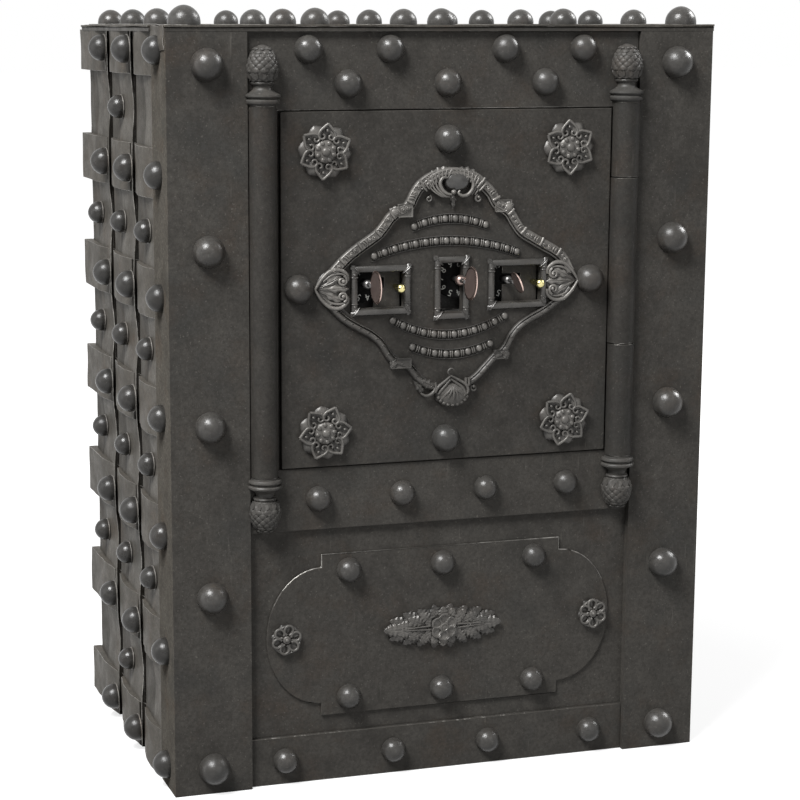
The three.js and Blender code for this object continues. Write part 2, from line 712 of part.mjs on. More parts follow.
function addDoorPlate() {
  let solid = box([doorLeft, doorRight], [doorFrontY, doorBackY], [doorBottom, doorTop]);
  for (const window of windows) {
    const opening = windowOpening(window);
    solid = solid.subtract(box(opening.x, [doorFrontY - cut, doorBackY + cut], opening.z));
  }
  const sideZ = doorZ + doorStudRise;
  const places = [
    [0, doorTop - doorStudTop], [0, doorBottom + doorStudBottom],
    [doorLeft + doorStudLeft, sideZ], [doorRight - doorStudRight, sideZ],
  ];
  addPart('door_plate', withStuds(solid, doorStud, 'front', places, -doorFrontY), 'plate');
}

// The plug is four walls behind the door plate, closed by a cover, with holes for the bolts
function addPlug() {
  const y = [doorBackY + seat, plugBackY - coverPlate - seat];
  const innerX = [plugX[0] + plugWall, plugX[1] - plugWall];
  const innerZ = [plugZ[0] + plugWall, plugZ[1] - plugWall];
  let walls = box(plugX, y, plugZ).subtract(box(innerX, [y[0] - cut, y[1] + cut], innerZ));
  for (const z of boltZ) {
    const holeY = [boltY[0] - boltPlay, boltY[1] + boltPlay];
    const holeZ = [z - boltHeight / 2 - boltPlay, z + boltHeight / 2 + boltPlay];
    walls = walls.subtract(box([plugX[0] - cut, innerX[0] + cut], holeY, holeZ));
  }
  addPart('door_pan', walls, 'inner');
  addPart('door_back_cover', box(plugX, [plugBackY - coverPlate, plugBackY], plugZ), 'inner');
}

// Centre line of one arm of the cartouche, from the side palmette to the shell, in shares of its
// half width and half height
function cartoucheArm(shellShare) {
  const shares = [
    [0.9, 0.18], [0.82, 0.257], [0.693, 0.333], [0.566, 0.419], [0.494, 0.495], [0.446, 0.595],
    [0.398, 0.667], [0.319, 0.739], [0.245, 0.802], [0.165, 0.86], [0.08, shellShare],
  ];
  return shares.map(([across, rise]) => [across * cartouche.halfWidth, rise * cartouche.halfHeight]);
}

// The cartouche is a lozenge of four mirrored arms, drawn as one closed centre line
function cartoucheLine() {
  const top = cartoucheArm(0.883);
  const bottom = cartoucheArm(0.91).map(([x, z]) => [x, -z]);
  const mirrored = (arm) => arm.map(([x, z]) => [-x, z]).reverse();
  return [...top, ...mirrored(top), ...mirrored(bottom).reverse(), ...[...bottom].reverse()];
}

// Moves each point of a closed line sideways, to either side of it
function offsetLine(points, distance) {
  return points.map((point, k) => {
    const before = points[(k + points.length - 1) % points.length];
    const after = points[(k + 1) % points.length];
    const along = new THREE.Vector2(after[0] - before[0], after[1] - before[1]).normalize();
    return new THREE.Vector2(point[0] + along.y * distance, point[1] - along.x * distance);
  });
}

function addCartouche() {
  const line = cartoucheLine();
  const shape = new THREE.Shape(offsetLine(line, cartoucheBand / 2));
  shape.holes.push(new THREE.Path(offsetLine(line, -cartoucheBand / 2)));
  const sheet = new THREE.ExtrudeGeometry(shape, { depth: cartoucheThick, bevelEnabled: false });
  const backOut = -doorFrontY + seat;
  let solid = onFace(sheet, 'front', cartouche.x, cartouche.z, backOut);
  const blockDepth = cartoucheThick + reliefRise / 3;
  const blockAt = [0.406 * cartouche.halfWidth, 0.63 * cartouche.halfHeight];
  for (const [side, level] of [[-1, 1], [1, 1], [-1, -1], [1, -1]]) {
    const block = new THREE.BoxGeometry(cornerBlock.across, cornerBlock.rise, blockDepth);
    const place = [cartouche.x + side * blockAt[0], cartouche.z + level * blockAt[1]];
    solid = solid.add(onFace(block, 'front', ...place, backOut + blockDepth / 2));
  }
  const reach = cartouche.halfWidth - palmette.across;
  const shellReach = cartouche.halfHeight - shell.rise;
  const bosses = [
    { x: 0, z: shellReach - cartoucheDrop, size: shell },
    { x: 0, z: -shellReach - cartoucheDrop, size: shell },
    { x: -reach, z: 1, size: palmette },
    { x: reach, z: 1, size: palmette },
  ];
  for (const { x, z, size } of bosses) {
    const boss = turned([[0, 0], [1, 0], [0.92, 0.5], [0.55, 0.92], [0, 1]], 12);
    boss.scale(size.across, size.rise, cartoucheThick + reliefRise);
    solid = solid.add(onFace(boss, 'front', cartouche.x + x, cartouche.z + z, backOut));
  }
  addPart('cartouche_frame', solid, 'casting');
}

// A window frame is four half-round bars
function addWindowFrame(window) {
  const { x, z } = window;
  const radius = windowBar / 2;
  const out = -doorFrontY + seat;
  const bars = [];
  for (const rise of [z[0] + radius, z[1] - radius]) {
    const bar = rod(radius, x[0], x[1], 12);
    bar.applyMatrix4(new THREE.Matrix4().makeBasis(inward, up, right));
    bar.translate(0, -out, rise);
    bars.push(solidOf(bar));
  }
  for (const across of [x[0] + radius, x[1] - radius]) {
    const bar = rod(radius, z[0], z[1], 12);
    bar.translate(across, -out, 0);
    bars.push(solidOf(bar));
  }
  const back = box([x[0] - cut, x[1] + cut], [-out, -out + windowBar], [z[0] - cut, z[1] + cut]);
  const frame = bars.reduce((sum, bar) => sum.add(bar)).subtract(back);
  addPart(`${window.name}_window_frame`, frame, 'casting');
}

// The lock case is a tray behind the windows: its side walls guide the shutters
function addLockCase() {
  const y = [doorBackY + seat, caseBackY];
  const innerX = [caseX[0] + caseWall, caseX[1] - caseWall];
  const innerZ = [caseZ[0] + caseWall, caseZ[1] - caseWall];
  let tray = box(caseX, y, caseZ).subtract(box(innerX, [y[0] - cut, y[1] - caseWall], innerZ));
  for (const turn of turns) {
    const hole = rod(spindleRadius + spindlePlay, -caseBackY - cut, -caseBackY + caseWall + cut, 16);
    tray = tray.subtract(onFace(hole, 'front', turn.x, turn.z, 0));
  }
  addPart('lock_case', tray, 'inner');
}

function addTurn(turn, index) {
  const bossY = doorFrontY - doorRecess - turn.forward;
  const rearY = index === 1 ? boltY[1] - spindleTail : caseBackY + spindleTail;
  const spindle = rod(spindleRadius, -rearY, -bossY, 12);
  const boss = new THREE.SphereGeometry(turn.boss, 12, 8);
  boss.translate(0, 0, -bossY);
  const discOut = -bossY + turn.reach;
  const neck = rod(neckRadius, -bossY, discOut - turn.disc + neckBite, 12);
  const disc = rod(turn.disc, -discThick / 2, discThick / 2, 24);
  disc.rotateY(Math.PI / 2);
  disc.translate(0, 0, discOut);
  disc.rotateZ(THREE.MathUtils.degToRad(-turn.tilt));
  const pieces = [spindle, boss, neck, disc].map((shape) => onFace(shape, 'front', turn.x, turn.z, 0));
  addPart(`${turn.name}_thumb_turn`, pieces.reduce((sum, piece) => sum.add(piece)), 'turn');
}

// A dial is a disc in its window, with a hub that stands on the floor of the lock case
function addDial(turn) {
  const bore = spindleRadius + seat;
  const hubEnd = -(caseBackY - caseWall - seat);
  const front = -dialFrontY;
  const profile = [
    [bore, hubEnd], [dialHubRadius, hubEnd], [dialHubRadius, front - dialThick],
    [dialRadius, front - dialThick], [dialRadius, front], [bore, front], [bore, hubEnd],
  ];
  addPart(`${turn.name}_dial`, onFace(turned(profile, 24), 'front', turn.x, turn.z, 0), 'dial');
}

function addShutter(shutter, turn) {
  const y = [doorBackY + shutterPlay, shutterBackY];
  const z = [caseZ[0] + caseWall + seat, caseZ[1] - caseWall - seat];
  const slotHalf = spindleRadius + shutterSlotClear;
  const slotX = [shutter.x[0] - cut, shutter.x[0] + shutter.slot];
  const slot = box(slotX, [y[0] - cut, y[1] + cut], [turn.z - slotHalf, turn.z + slotHalf]);
  addPart(`${shutter.name}_shutter`, box(shutter.x, y, z).subtract(slot), 'inner');
  const foot = -y[0] + seat;
  const ball = foot + shutter.ballReach;
  const knob = turned([
    [0, foot], [knobFoot, foot], [knobFoot, foot + knobFootTall],
    [knobStem, foot + knobFootTall + knobFoot - knobStem], [knobStem, ball - 0.9 * knobBall],
    [0.75 * knobBall, ball - 0.66 * knobBall], [knobBall, ball], [0.75 * knobBall, ball + 0.66 * knobBall],
    [0, ball + knobBall],
  ], 12);
  addPart(`${shutter.name}_shutter_knob`, onFace(knob, 'front', shutter.knobX, doorZ + knobRise, 0), 'brass');
}

// The pinion's teeth run in the rack that draws the bolts
function addPinion() {
  const turn = turns[1];
  const step = (2 * Math.PI) / pinionTeeth;
  const shape = new THREE.Shape();
  const corners = [
    [-toothRootShare, pinionPitch - toothIn], [-toothTipShare, pinionPitch + toothOut],
    [toothTipShare, pinionPitch + toothOut], [toothRootShare, pinionPitch - toothIn],
  ];
  for (let tooth = 0; tooth < pinionTeeth; tooth += 1) {
    for (const [share, radius] of corners) {
      const angle = -(tooth + share) * step;
      const point = [radius * Math.sin(angle), radius * Math.cos(angle)];
      if (tooth === 0 && share === corners[0][0]) shape.moveTo(...point);
      else shape.lineTo(...point);
    }
  }
  shape.closePath();
  const hole = new THREE.Path();
  hole.absarc(0, 0, spindleRadius + seat, 0, 2 * Math.PI, true);
  shape.holes.push(hole);
  const thick = boltThick - pinionInset;
  const geometry = new THREE.ExtrudeGeometry(shape, { depth: thick, bevelEnabled: false, curveSegments: 6 });
  addPart('bolt_pinion', onFace(geometry, 'front', turn.x, turn.z, -boltY[0] - thick), 'steel');
}

function rackTooth(x) {
  const root = toothRootShare * toothPitch;
  const tip = toothTipShare * toothPitch;
  const shape = new THREE.Shape();
  shape.moveTo(x - root, rackPitchZ + toothIn + cut);
  shape.lineTo(x - root, rackPitchZ + toothIn);
  shape.lineTo(x - tip, rackPitchZ - toothOut);
  shape.lineTo(x + tip, rackPitchZ - toothOut);
  shape.lineTo(x + root, rackPitchZ + toothIn);
  shape.lineTo(x + root, rackPitchZ + toothIn + cut);
  return frontOutline(shape, boltThick, boltY[1]);
}

// Three bolts on an upright bar, with an arm across to the pinion
function addBoltBar() {
  const barX = plugX[0] + plugWall + boltThrow + barClear;
  const pinionX = turns[1].x;
  const tipX = plugX[0] + boltTip;
  const ends = [boltZ[0] - barOverlap, boltZ[2] + barOverlap];
  let bolts = box([barX, barX + barWidth], boltY, ends);
  for (const z of boltZ) {
    bolts = bolts.add(box([tipX, barX + cut], boltY, [z - boltHeight / 2, z + boltHeight / 2]));
  }
  const rackZ = [rackPitchZ + toothIn, rackPitchZ + toothIn + rackHeight];
  bolts = bolts.add(box([barX + cut, pinionX + rackReach], boltY, rackZ));
  for (let k = -rackTeethBefore; k < rackTeeth - rackTeethBefore; k += 1) {
    bolts = bolts.add(rackTooth(pinionX + (k + 0.5) * toothPitch));
  }
  addPart('bolt_bar', bolts, 'steel');
  const coverY = plugBackY - coverPlate - seat;
  const guideX = [pinionX + guideReach, pinionX + guideReach + guideWidth];
  const lowLip = [rackZ[0] - seat - guideLip, rackZ[0] - seat];
  const highLip = [rackZ[1] + seat, rackZ[1] + seat + guideLip];
  const base = box(guideX, [boltY[1] + seat, coverY], [lowLip[0], highLip[1]]);
  const lips = [lowLip, highLip].map((z) => box(guideX, [boltY[0], coverY], z));
  addPart('bolt_guide', lips.reduce((sum, lip) => sum.add(lip), base), 'steel');
}

addShell();
addFrontPlate();
addDoorFrame();
addChest();
addCore();
addCornerIron(-1);
addCornerIron(1);
addSideLattice(-1);
addSideLattice(1);
addBackLattice();
addTopLattice();
addFrontStraps();
addReliefPlate();
addRosettes();
addLeafSpray();
addLeftColumn();
for (const [side, x] of [['left', -columnX], ['hinge', columnX]]) {
  addFinial(`${side}_top_finial`, x, headBottom, 1);
  addFinial(`${side}_bottom_finial`, x, sillTop, -1);
}
addHinge();
addDoorPlate();
addPlug();
addCartouche();
windows.forEach(addWindowFrame);
addLockCase();
turns.forEach(addTurn);
turns.forEach(addDial);
addShutter(shutters[0], turns[0]);
addShutter(shutters[1], turns[2]);
addPinion();
addBoltBar();

export default strongbox;
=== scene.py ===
"""An upright iron strongbox: riveted straps, cast ornament, lock windows and its inner chest."""
import json
import random
from math import cos, pi, radians, sin

import bmesh
import bpy
from bpy.props import FloatProperty, FloatVectorProperty, IntProperty, PointerProperty
from mathutils import Matrix, Vector

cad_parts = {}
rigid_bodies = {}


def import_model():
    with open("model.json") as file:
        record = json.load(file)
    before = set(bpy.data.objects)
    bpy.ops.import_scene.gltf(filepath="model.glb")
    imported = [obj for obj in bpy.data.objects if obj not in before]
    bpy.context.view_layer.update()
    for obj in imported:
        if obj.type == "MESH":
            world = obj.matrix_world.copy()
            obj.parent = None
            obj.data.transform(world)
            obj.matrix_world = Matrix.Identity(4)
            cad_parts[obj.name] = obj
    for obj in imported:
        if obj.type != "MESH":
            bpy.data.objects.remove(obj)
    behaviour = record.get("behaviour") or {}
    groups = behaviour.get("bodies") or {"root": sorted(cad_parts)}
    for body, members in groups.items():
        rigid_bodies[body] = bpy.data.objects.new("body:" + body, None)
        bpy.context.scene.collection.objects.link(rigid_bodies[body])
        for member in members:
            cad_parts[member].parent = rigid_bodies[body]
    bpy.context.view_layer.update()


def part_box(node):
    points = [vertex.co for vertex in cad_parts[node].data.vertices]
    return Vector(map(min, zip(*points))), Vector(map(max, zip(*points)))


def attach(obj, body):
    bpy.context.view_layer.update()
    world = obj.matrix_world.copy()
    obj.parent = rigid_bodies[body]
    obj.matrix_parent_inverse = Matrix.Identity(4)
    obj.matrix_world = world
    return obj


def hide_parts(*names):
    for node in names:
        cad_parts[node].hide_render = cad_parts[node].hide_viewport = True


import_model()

bl_info = {
    "name": "Iron strongbox",
    "version": (1, 0, 0),
    "blender": (4, 5, 0),
    "location": "View3D > Sidebar > Strongbox",
    "description": "Models a studded iron strongbox with its lock, ornament and lattice",
    "category": "Object",
}

MM = 0.001
TOUCH = 0.00005
X, Y, Z = 0, 1, 2

# Places of the carcass, in metres
CARCASS_FRONT = -0.180
CARCASS_BACK = 0.180
CARCASS_SIDE = 0.260
LATTICE_TOP = 0.695
BAND_WIDTH = 0.045
BAND_PITCH = (LATTICE_TOP - BAND_WIDTH) / 6
TOP_BAND_EDGE = 0.6895
STRAP_GAP = 0.011
SIDE_STRAP_FRONT = -0.137
FLANGE_BACK = -0.1257
SIDE_STRAP_BACK = 0.170
CROSS_STRAP_EDGE = 0.236
CROSS_BAND_EDGE = 0.2537
LID_BAND_BACK = 0.1707
LID_BAND_PLACES = (-0.1575, -0.0556, 0.0463, 0.1482)
DOOR_FACE = -0.178

# The hinge column and its twin on the left
COLUMN_RADIUS = 0.0125
COLUMN_ACROSS = 0.1735
TOP_FINIAL_FOOT = 0.620
BOTTOM_FINIAL_FOOT = 0.299
COLUMN_OVERLAP = 0.005
HALF_MM = 0.0005

# The lock windows
WINDOW_BAR = 0.0065
COIN_THICK = 0.0014
FIGURE_COUNT = 10
FIGURE_SIZE = 0.0085
FIGURE_CIRCLE = 0.0135
FIGURE_RELIEF = 0.00012

# Front faces of the plates along Y
PLATE_FACES = {"head_strap": -0.176, "sill_strap": -0.176, "foot_strap": -0.175,
               "lower_relief_plate": -0.174, "door_plate": DOOR_FACE}

# Pieces of the lid's edge: name, foot, top, how far it stands out and its paints
LID_EDGES = (
    ("top_plate_lip", 0.6926, 0.6942, 0.0008, ("strap", "strap_worn")),
    # The seam under the lip is near-black: a painted shadow line
    ("top_plate_gap", 0.6917, 0.6927, 0.0002, ("recess",)),
    ("top_plate_edge", 0.6885, 0.6918, -0.0002, ("plate",)),
)

# Name, place, size and power of each lamp
LAMPS = (
    ("key", (-1.9, -1.5, 3.2), 1.35, 345),
    ("fill", (0.6, -3.2, 1.4), 2.4, 14),
    ("side", (-2.6, 0.2, 1.0), 1.8, 16),
    ("right", (2.8, 0.2, 2.3), 1.2, 130),
)


class StrongboxSizes(bpy.types.PropertyGroup):
    edge_round: FloatProperty(
        name="Edge rounding", description="Worn rounding along plate edges",
        default=0.0008, min=0.0001, max=0.003, unit="LENGTH")
    strap_bow: FloatProperty(
        name="Strap bow", description="How far a strap sinks between two bands",
        default=0.0024, min=0.0, max=0.004, unit="LENGTH")
    band_dip: FloatProperty(
        name="Band dip", description="How far a band sinks between two straps",
        default=0.0038, min=0.0, max=0.005, unit="LENGTH")
    forge_wave: FloatProperty(
        name="Forge wave", description="Unevenness left by the hammer",
        default=0.0007, min=0.0, max=0.003, unit="LENGTH")
    nail_sides: IntProperty(
        name="Nail sides", description="Facets around one nail head", default=28, min=12, max=48)


class StrongboxFinish(bpy.types.PropertyGroup):
    plate: FloatVectorProperty(
        name="Plate", description="Graphite paint on the front plates", subtype="COLOR",
        size=3, min=0, max=1, default=(0.0325, 0.0303, 0.0272))
    strap: FloatVectorProperty(
        name="Strap", description="Graphite paint on the straps", subtype="COLOR",
        size=3, min=0, max=1, default=(0.050, 0.0460, 0.0400))
    cast: FloatVectorProperty(
        name="Casting", description="Rubbed graphite on the castings", subtype="COLOR",
        size=3, min=0, max=1, default=(0.046, 0.0435, 0.0400))
    worn: FloatVectorProperty(
        name="Worn iron", description="Bare iron on rubbed edges", subtype="COLOR",
        size=3, min=0, max=1, default=(0.30, 0.29, 0.27))
    dark: FloatVectorProperty(
        name="Inner sheet", description="Dark sheet iron inside", subtype="COLOR",
        size=3, min=0, max=1, default=(0.035, 0.034, 0.033))
    steel: FloatVectorProperty(
        name="Steel", description="Dulled plain steel", subtype="COLOR",
        size=3, min=0, max=1, default=(0.42, 0.41, 0.40))
    turn: FloatVectorProperty(
        name="Thumb turn", description="Polished steel with a coppery tone", subtype="COLOR",
        size=3, min=0, max=1, default=(0.62, 0.47, 0.42))
    brass: FloatVectorProperty(
        name="Brass", description="Pale brass of the shutter knobs", subtype="COLOR",
        size=3, min=0, max=1, default=(0.62, 0.56, 0.27))
    oak: FloatVectorProperty(
        name="Oak", description="Oak of the core", subtype="COLOR",
        size=3, min=0, max=1, default=(0.24, 0.15, 0.08))


def clear():
    """Leave edit mode and deselect everything."""
    if bpy.context.object and bpy.context.object.mode != "OBJECT":
        bpy.ops.object.mode_set(mode="OBJECT")
    bpy.ops.object.select_all(action="DESELECT")


def only(obj):
    """Select one object alone and make it the active one."""
    clear()
    obj.select_set(True)
    bpy.context.view_layer.objects.active = obj
    return obj


def edit(obj):
    """Open an object in edit mode with all of it selected."""
    only(obj)
    bpy.ops.object.mode_set(mode="EDIT")
    bpy.ops.mesh.select_mode(type="EDGE")
    bpy.ops.mesh.select_all(action="SELECT")


def closed(obj):
    """Merge the doubles of an object and turn its faces outwards."""
    edit(obj)
    bpy.ops.mesh.remove_doubles(threshold=TOUCH / 5)
    bpy.ops.mesh.normals_make_consistent(inside=False)
    bpy.ops.object.mode_set(mode="OBJECT")
    return obj


def choose(obj, kind, test):
    """Select the vertices, edges or faces of the mesh being edited that pass a test."""
    bpy.ops.mesh.select_all(action="DESELECT")
    bpy.ops.mesh.select_mode(type={"verts": "VERT", "edges": "EDGE", "faces": "FACE"}[kind])
    shell = bmesh.from_edit_mesh(obj.data)
    for part in getattr(shell, kind):
        part.select_set(test(part))
    shell.select_flush_mode()
    bmesh.update_edit_mesh(obj.data)


def apply_modifier(obj, kind, **settings):
    """Add a modifier with its settings and apply it."""
    only(obj)
    modifier = obj.modifiers.new(kind.title(), kind)
    for name, value in settings.items():
        setattr(modifier, name, value)
    bpy.ops.object.modifier_apply(modifier=modifier.name)
    return obj


def settle(obj):
    """Write an object's place, turn and scale into its mesh."""
    only(obj)
    bpy.ops.object.transform_apply(location=True, rotation=True, scale=True)
    return obj


def joined(parts, name):
    """Join several meshes into one object."""
    clear()
    for part in parts:
        part.select_set(True)
    bpy.context.view_layer.objects.active = parts[0]
    if len(parts) > 1:
        bpy.ops.object.join()
    obj = bpy.context.view_layer.objects.active
    obj.name = name
    return obj


def copied(obj, matrix):
    """A copy of an object with a mesh of its own, set by a matrix."""
    twin = bpy.data.objects.new(obj.name + "_copy", obj.data.copy())
    bpy.context.collection.objects.link(twin)
    twin.data.transform(matrix)
    return twin


def shaped(obj, rule):
    """Move each vertex to the place that a rule gives for it."""
    for vertex in obj.data.vertices:
        vertex.co = rule(vertex.co)
    obj.data.update()
    return obj


def removed(obj):
    """Delete an object that was only a pattern."""
    only(obj)
    bpy.ops.object.delete()


def smooth(obj, angle=40):
    """Shade an object smooth up to an angle between its faces."""
    only(obj)
    bpy.ops.object.shade_smooth_by_angle(angle=radians(angle))
    return obj


def painted(obj, *paints):
    """Give an object its materials, in the order of its material slots."""
    obj.data.materials.clear()
    for paint in paints:
        obj.data.materials.append(paint)
    return obj


def tone(obj, number, test):
    """Give the faces that pass a test another of the object's materials."""
    edit(obj)
    choose(obj, "faces", test)
    obj.active_material_index = number
    bpy.ops.object.material_slot_assign()
    bpy.ops.object.mode_set(mode="OBJECT")


def placed(obj, name, body, slot, *nodes):
    """Name a finished piece, let it ride on its body and stand for its nodes."""
    settle(obj)
    obj.name = name
    obj.data.name = name
    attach(obj, body)
    if nodes:
        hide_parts(*nodes)
    return obj


def slab(low, high):
    """A block between two corners."""
    clear()
    bpy.ops.mesh.primitive_cube_add(size=1)
    obj = bpy.context.object
    obj.scale = Vector(high) - Vector(low)
    obj.location = (Vector(high) + Vector(low)) / 2
    return settle(obj)


def ball(centre, radii, segments=16, rings=10):
    """An ellipsoid bead."""
    clear()
    bpy.ops.mesh.primitive_uv_sphere_add(segments=segments, ring_count=rings, radius=1)
    obj = bpy.context.object
    obj.scale = radii
    obj.location = centre
    return settle(obj)


def barrel(centre, radius, low, high, sides=48):
    """An upright round bar."""
    clear()
    bpy.ops.mesh.primitive_cylinder_add(
        vertices=sides, radius=radius, depth=high - low,
        location=(centre[X], centre[Y], (low + high) / 2))
    return settle(bpy.context.object)


def cut_away(obj, point, normal):
    """Cut an object along a plane, drop what lies behind it and close the cut."""
    edit(obj)
    bpy.ops.mesh.bisect(plane_co=point, plane_no=normal, clear_inner=True, threshold=TOUCH / 5)
    bpy.ops.mesh.fill(use_beauty=True)
    bpy.ops.object.mode_set(mode="OBJECT")
    return obj


def cad_copy(node, *cuts):
    """A merged copy of a node's mesh, cut free of what its own pieces stand for."""
    obj = bpy.data.objects.new(node + "_dressed", bpy.data.objects[node].data.copy())
    bpy.context.collection.objects.link(obj)
    edit(obj)
    bpy.ops.mesh.remove_doubles(threshold=TOUCH / 5)
    bpy.ops.object.mode_set(mode="OBJECT")
    for point, normal in cuts:
        cut_away(obj, point, normal)
    return closed(obj)


def eased(obj, width, segments=2, clamp=True):
    """Round the edges of a piece, in its second material where it has one."""
    material = 1 if len(obj.data.materials) > 1 else -1
    apply_modifier(obj, "BEVEL", width=width, segments=segments, limit_method="ANGLE",
                   angle_limit=radians(32), material=material, use_clamp_overlap=clamp)
    smooth(obj, 35)
    return apply_modifier(obj, "WEIGHTED_NORMAL", mode="FACE_AREA", weight=50, keep_sharp=True)


def strips(first, last, count, gap):
    """The edges of equal strips with a gap between neighbours."""
    width = (last - first - gap * (count - 1)) / count
    starts = [first + number * (width + gap) for number in range(count)]
    return [(start, start + width) for start in starts]


class Paint:
    """Adds and links the nodes of one material."""

    def __init__(self, name, colour, roughness, metallic, specular=0.3):
        self.material = bpy.data.materials.new(name)
        self.material.use_nodes = True
        self.material.diffuse_color = (*colour, 1)
        self.nodes = self.material.node_tree.nodes
        self.links = self.material.node_tree.links
        self.shader = self.nodes["Principled BSDF"]
        self.shader.inputs["Roughness"].default_value = roughness
        self.shader.inputs["Metallic"].default_value = metallic
        self.shader.inputs["Specular IOR Level"].default_value = specular
        self.shader.inputs["Base Color"].default_value = (*colour, 1)
        self.place = self.nodes.new("ShaderNodeTexCoord").outputs["Object"]

    def stretched(self, scale, turn=(0, 0, 0)):
        """Object coordinates through a Mapping node."""
        node = self.nodes.new("ShaderNodeMapping")
        node.inputs["Scale"].default_value = scale
        node.inputs["Rotation"].default_value = turn
        self.links.new(self.place, node.inputs["Vector"])
        return node.outputs["Vector"]

    def noise(self, scale, detail=4, roughness=0.55, place=None):
        """A cloudy value from 0 to 1."""
        node = self.nodes.new("ShaderNodeTexNoise")
        node.inputs["Scale"].default_value = scale
        node.inputs["Detail"].default_value = detail
        node.inputs["Roughness"].default_value = roughness
        self.links.new(place or self.place, node.inputs["Vector"])
        return node.outputs["Fac"]

    def ranged(self, value, low, high, to_low=0.0, to_high=1.0):
        """A value spread from one range to another and held inside it."""
        node = self.nodes.new("ShaderNodeMapRange")
        for name, number in zip(("From Min", "From Max", "To Min", "To Max"),
                                (low, high, to_low, to_high)):
            node.inputs[name].default_value = number
        self.links.new(value, node.inputs["Value"])
        return node.outputs["Result"]

    def depth(self, base, top):
        """0 at one place along Y and 1 at another in front of it."""
        node = self.nodes.new("ShaderNodeSeparateXYZ")
        self.links.new(self.place, node.inputs["Vector"])
        return self.ranged(node.outputs["Y"], base, top)

    def times(self, first, second):
        """The product of two values."""
        node = self.nodes.new("ShaderNodeMath")
        node.operation = "MULTIPLY"
        self.links.new(first, node.inputs[0])
        self.links.new(second, node.inputs[1])
        return node.outputs["Value"]

    def blend(self, share, first, second):
        """A mix of two colours, each a tuple or the output of a node."""
        node = self.nodes.new("ShaderNodeMix")
        node.data_type = "RGBA"
        self.links.new(share, node.inputs["Factor"])
        for socket, colour in ((node.inputs[6], first), (node.inputs[7], second)):
            if isinstance(colour, bpy.types.NodeSocket):
                self.links.new(colour, socket)
            else:
                socket.default_value = (*colour, 1)
        return node.outputs[2]

    def colour(self, output):
        """Let an output give the colour."""
        self.links.new(output, self.shader.inputs["Base Color"])

    def roughness(self, output):
        """Let an output give the roughness."""
        self.links.new(output, self.shader.inputs["Roughness"])

    def relief(self, value, depth, below=None):
        """A bump of a given depth over one that lies below it."""
        node = self.nodes.new("ShaderNodeBump")
        node.inputs["Strength"].default_value = 1.0
        node.inputs["Distance"].default_value = depth
        self.links.new(value, node.inputs["Height"])
        if below:
            self.links.new(below, node.inputs["Normal"])
        return node.outputs["Normal"]

    def normal(self, output):
        """Let an output bend the surface."""
        self.links.new(output, self.shader.inputs["Normal"])


def tint(colour, factor):
    """A colour made lighter or darker."""
    return tuple(min(1.0, part * factor) for part in colour)


def iron_paint(name, colour, roughness=0.48, metallic=0.05, wave=0.0006, grain=0.00012,
               specular=0.10, crest=None):
    """Old graphite paint over iron: cloudy, pitted, faintly scratched and slightly uneven."""
    paint = Paint(name, colour, roughness, metallic, specular)
    broad = paint.ranged(paint.noise(7, 5), 0.34, 0.66)
    blotch = paint.ranged(paint.noise(46, 6, 0.68), 0.38, 0.66)
    mixed = paint.blend(broad, tint(colour, 0.86), tint(colour, 1.36))
    mixed = paint.blend(paint.ranged(blotch, 0, 1, 0.0, 0.70), mixed, tint(colour, 1.75))
    rust = paint.ranged(paint.noise(19, 6, 0.7), 0.52, 0.70, 0.0, 0.6)
    mixed = paint.blend(rust, mixed, (colour[0] * 1.34, colour[1] * 1.10, colour[2] * 0.94))
    cold = paint.ranged(paint.noise(13, 5, 0.6), 0.54, 0.70, 0.0, 0.6)
    mixed = paint.blend(cold, mixed, (colour[0] * 0.84, colour[1] * 0.92, colour[2] * 0.98))
    fine = paint.ranged(paint.noise(330, 4, 0.8), 0.36, 0.64, 0.0, 0.62)
    mixed = paint.blend(fine, mixed, tint(colour, 0.55))
    specks = paint.ranged(paint.noise(520, 2, 0.5), 0.66, 0.74, 0.0, 0.7)
    mixed = paint.blend(specks, mixed, tint(colour, 2.6))
    lines = paint.noise(260, 3, 0.6, paint.stretched((1.0, 1.0, 0.07), (0.25, 0.1, 0.3)))
    patches = paint.ranged(paint.noise(14, 3), 0.48, 0.62)
    scratch = paint.times(paint.ranged(lines, 0.66, 0.74), patches)
    mixed = paint.blend(paint.ranged(scratch, 0, 1, 0, 0.45), mixed, tint(colour, 3.0))
    # Crest: darker towards the casting's ground as painted shade, lighter on the tops as rubbed
    # wear and painted highlight
    if crest:
        base, full, rubbed = crest
        mixed = paint.blend(paint.depth(base, full), tint(colour, 0.28), mixed)
        bare = paint.times(paint.depth(full, rubbed), paint.ranged(blotch, 0, 1, 0.35, 0.85))
        mixed = paint.blend(bare, mixed, tint(colour, 3.4))
    paint.colour(mixed)
    paint.roughness(paint.ranged(blotch, 0, 1, roughness + 0.07, roughness - 0.07))
    uneven = paint.relief(paint.noise(26, 3, 0.5), wave)
    hammered = paint.relief(paint.noise(120, 4, 0.6), wave * 0.28, uneven)
    paint.normal(paint.relief(paint.noise(900, 3, 0.7), grain, hammered))
    return paint.material


def worn_paint(name, colour, bare, share=0.55):
    """Rubbed edges, where bare iron shows through the paint in chips."""
    paint = Paint(name, bare, 0.36, 0.75)
    chips = paint.ranged(paint.noise(140, 5, 0.7), 0.62 - share * 0.3, 0.70 - share * 0.1)
    long_wear = paint.ranged(paint.noise(11, 3), 0.36, 0.60)
    paint.colour(paint.blend(paint.times(chips, long_wear), tint(colour, 1.5), bare))
    paint.normal(paint.relief(paint.noise(400, 4, 0.7), 0.0002))
    return paint.material


